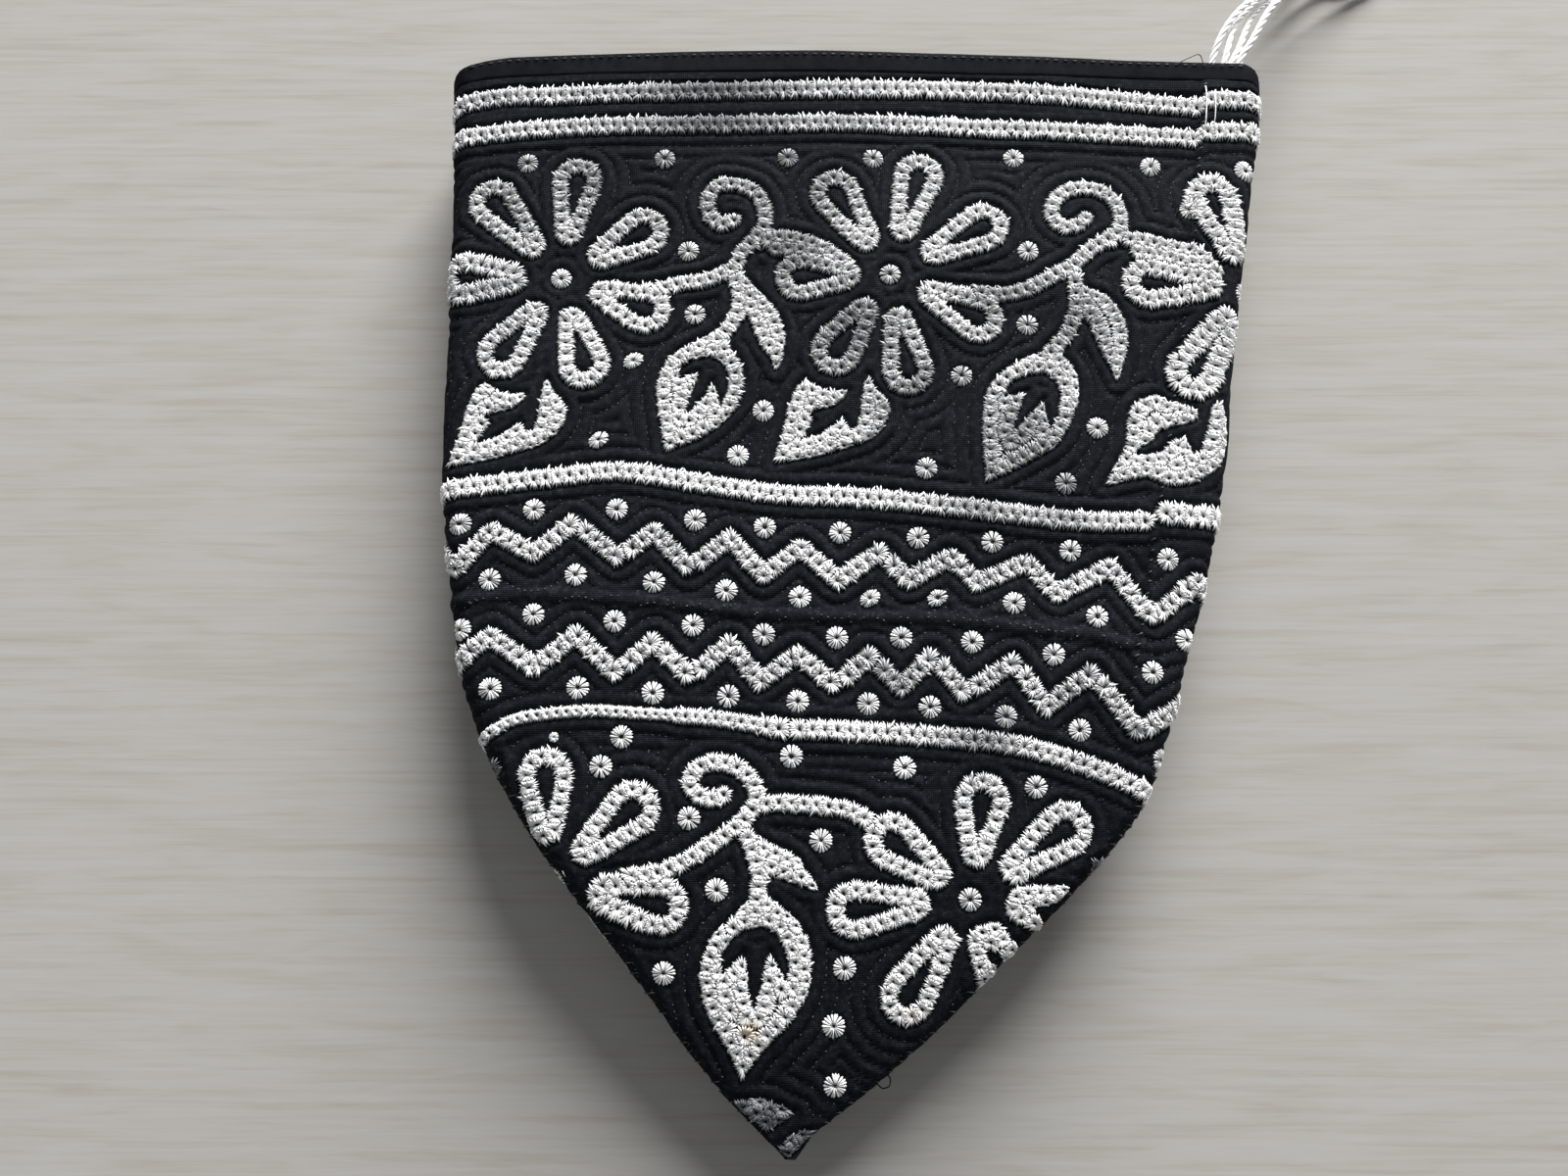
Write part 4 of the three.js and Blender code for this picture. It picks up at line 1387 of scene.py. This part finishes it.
def spots_share(x, y, spots, core):
    """The strength at each place of round spots that fade out from a core, a share of their radius."""
    total = np.zeros(x.shape)
    for (x0, y0), radius, strength in spots:
        away = np.hypot(x - x0, y - y0)
        total = np.maximum(total, strength * (1 - smoothstep(away, core * radius, radius)))
    return total


def make_embroidery(name, centres, motifs, relief, material, seed, surface=on_front, threads=THREADS,
                    fringe=FRINGE, taper=TAPER, fill=EDGE_FILL, dullest=DULLEST):
    """White threads that run out and up from each eyelet's hole, packed side by side."""
    rng = np.random.default_rng(seed)
    count = len(centres)
    turn = 2 * np.pi / threads
    angles = rng.uniform(0, turn, (count, 1)) + turn * np.arange(threads)[None]
    angles = angles + rng.uniform(-0.25, 0.25, angles.shape) * turn
    lengths, border = thread_lengths(centres, angles, motifs, fringe, rng)
    hole = rng.uniform(*HOLE_RADIUS, (count, 1)) * rng.uniform(*HOLE_UNEVENNESS, angles.shape)
    keep = lengths > hole + LEAST_THREAD
    owner = np.broadcast_to(np.arange(count)[:, None], angles.shape)[keep]
    angle, length, hole, border = angles[keep], lengths[keep], hole[keep], border[keep]
    number = len(angle)
    direction = np.stack([np.cos(angle), np.sin(angle)], axis=-1)
    side = np.stack([-direction[:, 1], direction[:, 0]], axis=-1)
    shape = THREAD_SHAPES["back" if surface is on_back else "front"]
    stations = np.array(shape["stations"])
    radii = hole[:, None] + (length - hole)[:, None] * stations
    radii[:, -2] = np.where(border, (1 - taper) * length, radii[:, -2])
    radii[:, -1] += np.where(border, 0.0, INNER_OVERLAP)
    radii[:, -2] += rng.uniform(-THREAD_JITTER, THREAD_JITTER, number)
    swirl = rng.uniform(-EYELET_SWIRL, EYELET_SWIRL, (count, 1))[owner]
    swirl += rng.uniform(-THREAD_JITTER, THREAD_JITTER, (number, 1))
    sideways = swirl * (stations - stations[1]) * length[:, None]
    outward = direction[:, None] * radii[..., None]
    places = centres[owner][:, None] + outward + side[:, None] * sideways[..., None]
    lift = np.where(border[:, None], shape["at_edge"], shape["inside"])
    lift[:, 1:-1] += rng.uniform(-THREAD_JITTER, THREAD_JITTER, (number, 1))
    room = np.pi / threads * radii[:, 1:-1]
    widths = np.clip(room * np.where(border, fill, INNER_FILL)[:, None], *THREAD_HALF_WIDTH)
    heights = relief.at(places[..., 0], places[..., 1]) + lift
    panel = threads_of(places, heights, widths, np.full(widths.shape, THREAD_ROOF))
    # painted shade and wear: threads in the listed spots lose part of their shade
    shade_and_wear = 1 - SHADE_AND_WEAR_LOSS * spots_share(centres[:, 0], centres[:, 1], SHADE_AND_WEAR_SPOTS, 0.0)[owner]
    shade = np.broadcast_to((rng.uniform(dullest, 1.0, number) * shade_and_wear)[:, None], panel.shape[:2]).copy()
    # painted shade in the hole: each thread's start there is darker
    shade[:, 0] *= HOLE_SHADE
    x, y, height = panel.reshape(-1, 3).T
    values = {
        "shade": shade.ravel(),
        "ink": inside_share(x, y, INKED_PATCHES),
        "stain": spots_share(x, y, STAINS, 0.3),
    }
    add_piece(name, surface(x, y, height), *thread_faces(panel), material, "white_cotton_thread",
              values=values, flip=surface is on_back)


def short_stitches(start, end, base, look, rng):
    """Threads between two places each, a little raised in the middle."""
    count = len(start)
    places = start[:, None] + (end - start)[:, None] * np.array([0, 0.3, 0.7, 1.0])[None, :, None]
    heights = base(places[..., 0], places[..., 1]) + STITCH_BOW + rng.uniform(0, 0.03, (count, 4))
    widths = np.full((count, 2), look["half_width"]) * rng.uniform(0.9, 1.15, (count, 1))
    return threads_of(places, heights, widths, np.full((count, 2), look["roof"]))


def stitch_piece(name, panel, material, slot="black_quilted_cotton"):
    x, y, height = panel.reshape(-1, 3).T
    add_piece(name, on_front(x, y, height), *thread_faces(panel), material, slot)


def dashes(line, closed, look):
    """Starts and ends of a running stitch along a line."""
    places = resample(line, look["pitch"], closed)
    here = places if closed else places[:-1]
    following = np.roll(places, -1, axis=0) if closed else places[1:]
    gap = (following - here) * (1 - look["length"] / look["pitch"]) / 2
    return here + gap, following - gap


def make_quilting_stitches(quilted, relief, material):
    """Short stitches in the quilting grooves, with some of them missing."""
    look = STITCHES["quilting"]
    rng = np.random.default_rng(look["seed"])
    runs = []
    for groove in range(3):
        for line, closed in contours(quilted.values, RIBS_FROM + RIB_PITCH * groove):
            if np.sum(np.linalg.norm(np.diff(line, axis=0), axis=1)) > SHORTEST_GROOVE:
                runs.append(dashes(line, closed, look))
    start = np.vstack([run[0] for run in runs])
    end = np.vstack([run[1] for run in runs])
    x, y = (start[:, 0] + end[:, 0]) / 2, (start[:, 1] + end[:, 1]) / 2
    shown = rng.random(len(x)) > MISSING_STITCHES
    shown &= np.abs(pattern_to_length(x, y)) < section(y)["ends"][1] + 4
    shown &= (y > TIP_Y) & (y < STITCHED_UP_TO_Y)
    panel = short_stitches(start[shown], end[shown], relief.at, look, rng)
    stitch_piece("quilting_stitches", panel, material)


def tape_profile():
    """The tape's cross-section as offsets and heights: up its outer side, over the rim and down inside."""
    outer = WALL / 2 + TAPE_PROUD
    inner = outer - TAPE_THICKNESS
    hem = RIM_Y - BINDING_DEPTH
    round_y = RIM_Y - outer * 0.9
    under_rim = RIM_Y - TAPE_THICKNESS
    profile = [(inner, hem), (outer, hem + 0.1)]
    profile += [(outer + 0.05, hem + up) for up in (0.8, 1.8, 2.8, 3.4)]
    for t in np.linspace(0, math.pi, 9):
        profile.append((outer * math.cos(t), round_y + outer * 0.9 * math.sin(t)))
    profile += [(-outer, hem + up) for up in (3.4, 1.8, 0.1)]
    return profile + [(-inner, hem), (-inner, under_rim), (inner, under_rim)]


def make_tape(material):
    """The tape folded over the rim, all round the folded wall."""
    profile = tape_profile()
    whole = float(section(np.array([CLOTH_TOP_Y]))["ends"][-1][0])
    count = 2 * int(whole / TAPE_STEP)
    share = (np.arange(count) + 0.5) / count * 2 - 1
    points = []
    for off, y in profile:
        yy = np.full(count, y)
        s = share * section(yy)["ends"][-1]
        wave = 0.1 * (lumps(s + 300, yy * 0 + 7, 4.0, 41) - 0.5) * (off > 0)
        points.append(wall_point(s, yy, off + wave))
    index = np.arange(len(profile) * count).reshape(-1, count)
    beside = np.roll(index, -1, axis=1)
    below = np.roll(index, -1, axis=0)
    quads = np.stack([index, beside, np.roll(beside, -1, axis=0), below], axis=-1)
    points = np.array(points).reshape(-1, 3)
    piece = add_piece("rim_tape", points, quads, [], material, "black_binding_tape")
    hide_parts("rim_binding")


def make_tape_stitches(material):
    """A row of machine stitches just under the rim."""
    look = STITCHES["tape"]
    rng = np.random.default_rng(look["seed"])
    x = np.arange(-69.5, 70.0, look["pitch"])
    line = np.stack([x, fallen(x, RIM_Y - TAPE_STITCH_DEPTH)], axis=-1)
    on_tape = WALL / 2 + TAPE_PROUD + look["rise"] - GROOVE_OFF
    panel = short_stitches(*dashes(line, False, look), lambda px, py: on_tape + 0 * px, look, rng)
    stitch_piece("tape_stitches", panel, material, "black_binding_tape")


def make_edge_stitches(relief, material):
    """Overcast stitches round both slanted edges of the crown, where its petals are sewn together."""
    look = STITCHES["crown_edge"]
    rng = np.random.default_rng(look["seed"])
    y = np.arange(BAND_END_Y - 3.0, TIP_Y + 1.5, -look["pitch"])
    sizes = section(y)
    edge = sizes["ends"][0]
    across = math.pi * sizes["fold"]
    starts, ends = [], []
    for side in (-1.0, 1.0):
        first = side * (edge + rng.uniform(0.12, 0.3, len(y)) * across)
        last = side * (edge + rng.uniform(0.5, 0.62, len(y)) * across)
        lean = rng.uniform(0.2, 0.9, len(y))
        starts.append(np.stack([length_to_pattern(first, y), y + lean / 2], axis=-1))
        ends.append(np.stack([length_to_pattern(last, y), y - lean / 2], axis=-1))
    panel = short_stitches(np.vstack(starts), np.vstack(ends),
                           lambda px, py: relief.at(px, py) + look["rise"], look, rng)
    stitch_piece("crown_edge_stitches", panel, material)


def make_seam_stitches(relief, material):
    """Small slanted stitches down the side seam."""
    look = STITCHES["seam"]
    rng = np.random.default_rng(look["seed"])
    places = resample(curve_through(SEAM, step=2.0), look["pitch"])
    places = places[places[:, 1] < RIM_Y - BINDING_DEPTH - 1]
    across = rng.uniform(0.3, 0.5, (len(places), 1)) * np.array([[1.0, 0.5]])
    shift = rng.uniform(-0.15, 0.15, (len(places), 2)) + (0.5, 0)
    panel = short_stitches(places - across + shift, places + across + shift,
                           lambda px, py: relief.at(px, py) + look["rise"], look, rng)
    stitch_piece("seam_stitches", panel, material)


def make_loose_threads(name, threads, material, slot):
    """Thin round threads along routes on the panel, joined in one mesh."""
    tubes = []
    for radius, route in threads:
        x, y, height = curve_through(route, step=0.4).T
        line = on_front(x, y, height)
        _, across, up = string_frames(line)
        tubes.append(tube_points(line, across, up, radius))
    points, quads, tris = joined_tubes(tubes)
    add_piece(name, points, quads, tris, material, slot, values={"shade": np.full(len(points), 0.9)})


def board_grain(tree):
    """Two layers of noise, stretched along the boards, as one value."""
    place = object_place(tree)
    layers = []
    for number, scale in enumerate(GRAIN_SCALES):
        stretch = tree.nodes.new("ShaderNodeMapping")
        stretch.inputs["Scale"].default_value = scale
        stretch.inputs["Location"].default_value = (number, number, 0)
        tree.links.new(place, stretch.inputs["Vector"])
        layers.append(noise_node(tree, stretch.outputs["Vector"], 1.0, detail=6, distortion=0.7))
    blend = tree.nodes.new("ShaderNodeMix")
    blend.inputs["Factor"].default_value = 0.5
    tree.links.new(layers[0], blend.inputs[2])
    tree.links.new(layers[1], blend.inputs[3])
    return blend.outputs[0]


def make_floor():
    material, tree, shader = principled("pale_boards", (0.36, 0.35, 0.33), 0.8, specular=0.08)
    colour = ramp_node(tree, board_grain(tree), [
        (0.34, (0.285, 0.268, 0.24)), (0.5, (0.318, 0.309, 0.291)), (0.64, (0.332, 0.327, 0.316)),
    ])
    tree.links.new(colour, shader.inputs["Base Color"])
    mesh = bpy.data.meshes.new("floor")
    half = FLOOR_HALF
    corners = [(-half, -half, 0), (half, -half, 0), (half, half, 0), (-half, half, 0)]
    mesh.from_pydata(corners, [], [(0, 1, 2, 3)])
    mesh.materials.append(material)
    floor = bpy.data.objects.new("floor", mesh)
    bpy.context.scene.collection.objects.link(floor)


def add_light(name, direction, distance, size, power, colour):
    data = bpy.data.lights.new(name, "AREA")
    data.shape = "DISK"
    data.size = size
    data.energy = power
    data.color = colour
    light = bpy.data.objects.new(name, data)
    toward = Vector(direction).normalized()
    light.location = toward * distance
    light.rotation_euler = (-toward).to_track_quat("-Z", "Y").to_euler()
    bpy.context.scene.collection.objects.link(light)


def make_lights():
    """A wide window low beyond the rim, a little to the right, and a faint fill from the room."""
    world = bpy.data.worlds.new("soft_room")
    world.use_nodes = True
    background = world.node_tree.nodes["Background"]
    background.inputs["Color"].default_value = ROOM_COLOUR
    background.inputs["Strength"].default_value = ROOM_STRENGTH
    bpy.context.scene.world = world
    for name, light in LIGHTS.items():
        add_light(name, *light)


def length_end(k):
    """The arc length at the end of the wall's stretch k, as a function of y."""
    return lambda y: section(y)["ends"][k]


def into_pocket(y):
    ends = section(y)["ends"]
    return ends[1] + np.minimum(POCKET_REACH, 0.9 * (ends[2] - ends[1]))


def out_of_pocket(y):
    ends = section(y)["ends"]
    return ends[4] - np.minimum(POCKET_REACH, 0.9 * (ends[4] - ends[3]))


def seam_length(y):
    return pattern_to_length(seam_x(y), y)


def mirrored(edges):
    """The same edges on the wall's left half, still from left to right."""
    return [lambda y, edge=edge: -edge(y) for edge in edges[::-1]]


def make_cloth(motifs, relief, cotton):
    """The quilted wall in sheets that meet at the join seam, the crown's start and inside the folds."""

    def front_height(s, y):
        x = length_to_pattern(s, y)
        seen_y = fallen(x, y)
        return GROOVE_OFF + near_rim(relief.at(x, seen_y), motifs.at(x, seen_y), y) + lap_rise(x, seen_y)

    def back_height(s, y):
        beside = section(y)["ends"][6] - np.abs(s)
        x = length_to_pattern(np.where(s < 0, -beside, beside), y)
        seen_y = fallen(x, y)
        return GROOVE_OFF + near_rim(relief.at(x, seen_y), motifs.at(x, seen_y), y)

    def plain_height(s, y):
        rows = PLAIN_ROW_HEIGHT * np.abs(np.sin(np.pi * y / RIB_PITCH))
        return WALL / 2 - 0.25 + rows + unevenness(s, y, PLAIN_LUMPS, 300)

    band = spaced(BAND_END_Y, CLOTH_TOP_Y, FINE_STEP, LINING_SHARE)
    crown = spaced(TIP_Y, BAND_END_Y, FINE_STEP, LINING_SHARE)
    whole = spaced(TIP_Y, CLOTH_TOP_Y, COARSE_STEP, 2)
    back = spaced(TIP_Y, CLOTH_TOP_Y, BACK_STEP, 3)
    right_edges = [length_end(0), length_end(1), into_pocket]
    left_edges = mirrored(right_edges)
    right_steps = (FINE_STEP, FINE_STEP, POCKET_STEP)
    left_steps = right_steps[::-1]
    cloth_piece("front_panel", band, left_edges + [seam_length], left_steps, front_height, cotton)
    cloth_piece("front_side_strip", band, [seam_length] + right_edges, right_steps, front_height, cotton)
    cloth_piece("crown_front", crown, left_edges + right_edges, left_steps + right_steps[1:],
                front_height, cotton)
    side_edges = [into_pocket, length_end(2), length_end(3), out_of_pocket]
    back_edges = [out_of_pocket, length_end(4), length_end(5), length_end(6)]
    for side in ("right", "left"):
        edges = side_edges if side == "right" else mirrored(side_edges)
        cloth_piece("side_fold_" + side, whole, edges, SIDE_STEPS, plain_height, cotton, share=2)
    for side in ("right", "left"):
        edges = back_edges if side == "right" else mirrored(back_edges)
        steps = BACK_STEPS if side == "right" else BACK_STEPS[::-1]
        cloth_piece("back_panel_" + side, back, edges, steps, back_height, cotton, share=3, pressed=True)


def make_all_embroidery(pattern, motifs, relief, white):
    centres, groups = eyelets_of(pattern)
    x, y = centres.T
    shown = (np.abs(pattern_to_length(x, y)) < into_pocket(y) - 3) & (y > TIP_Y) & (y < CLOTH_TOP_Y)
    centres, groups = centres[shown], groups[shown]
    for group, look in EMBROIDERY.items():
        make_embroidery(group + "_embroidery", centres[groups == group], motifs, relief, white, **look)
    make_embroidery("back_embroidery", centres, motifs, relief, white, surface=on_back, **BACK_EMBROIDERY)


def main():
    bpy.context.scene.view_settings.view_transform = "Standard"
    place_camera()
    white = white_thread()
    black_stitch = dark_thread("black_stitches", (0.006, 0.006, 0.008), (0.03, 0.03, 0.035))
    grey_stitch = dark_thread("worn_stitches", (0.012, 0.0125, 0.016), (0.1, 0.102, 0.11))
    for name in STRING_ROUTES:
        make_string(name, white)

    pattern = front_pattern()
    motifs = motif_field(pattern, pattern.dots)
    flower_centres = [centre for centre, _ in [*FLOWERS.values(), *CROWN_FLOWERS.values()]]
    quilted = motif_field(pattern, [dot for dot in pattern.dots if dot[1:3] in flower_centres])
    ridges = Field(FIELD_REACH)
    ridges.lower_along(curve_through(MIDDLE_RIDGE, step=4.0))
    relief = relief_field(motifs, quilted, ridges)
    make_cloth(motifs, relief, black_cotton())
    make_all_embroidery(pattern, motifs, relief, white)
    make_quilting_stitches(quilted, relief, grey_stitch)
    make_tape(black_tape())
    make_tape_stitches(grey_stitch)
    make_edge_stitches(relief, grey_stitch)
    make_seam_stitches(relief, grey_stitch)
    make_loose_threads("loose_white_threads", LOOSE_WHITE_THREADS, white, "white_cotton_thread")
    make_loose_threads("loose_black_thread", LOOSE_BLACK_THREADS, black_stitch, "black_binding_tape")
    make_floor()
    make_lights()


main()
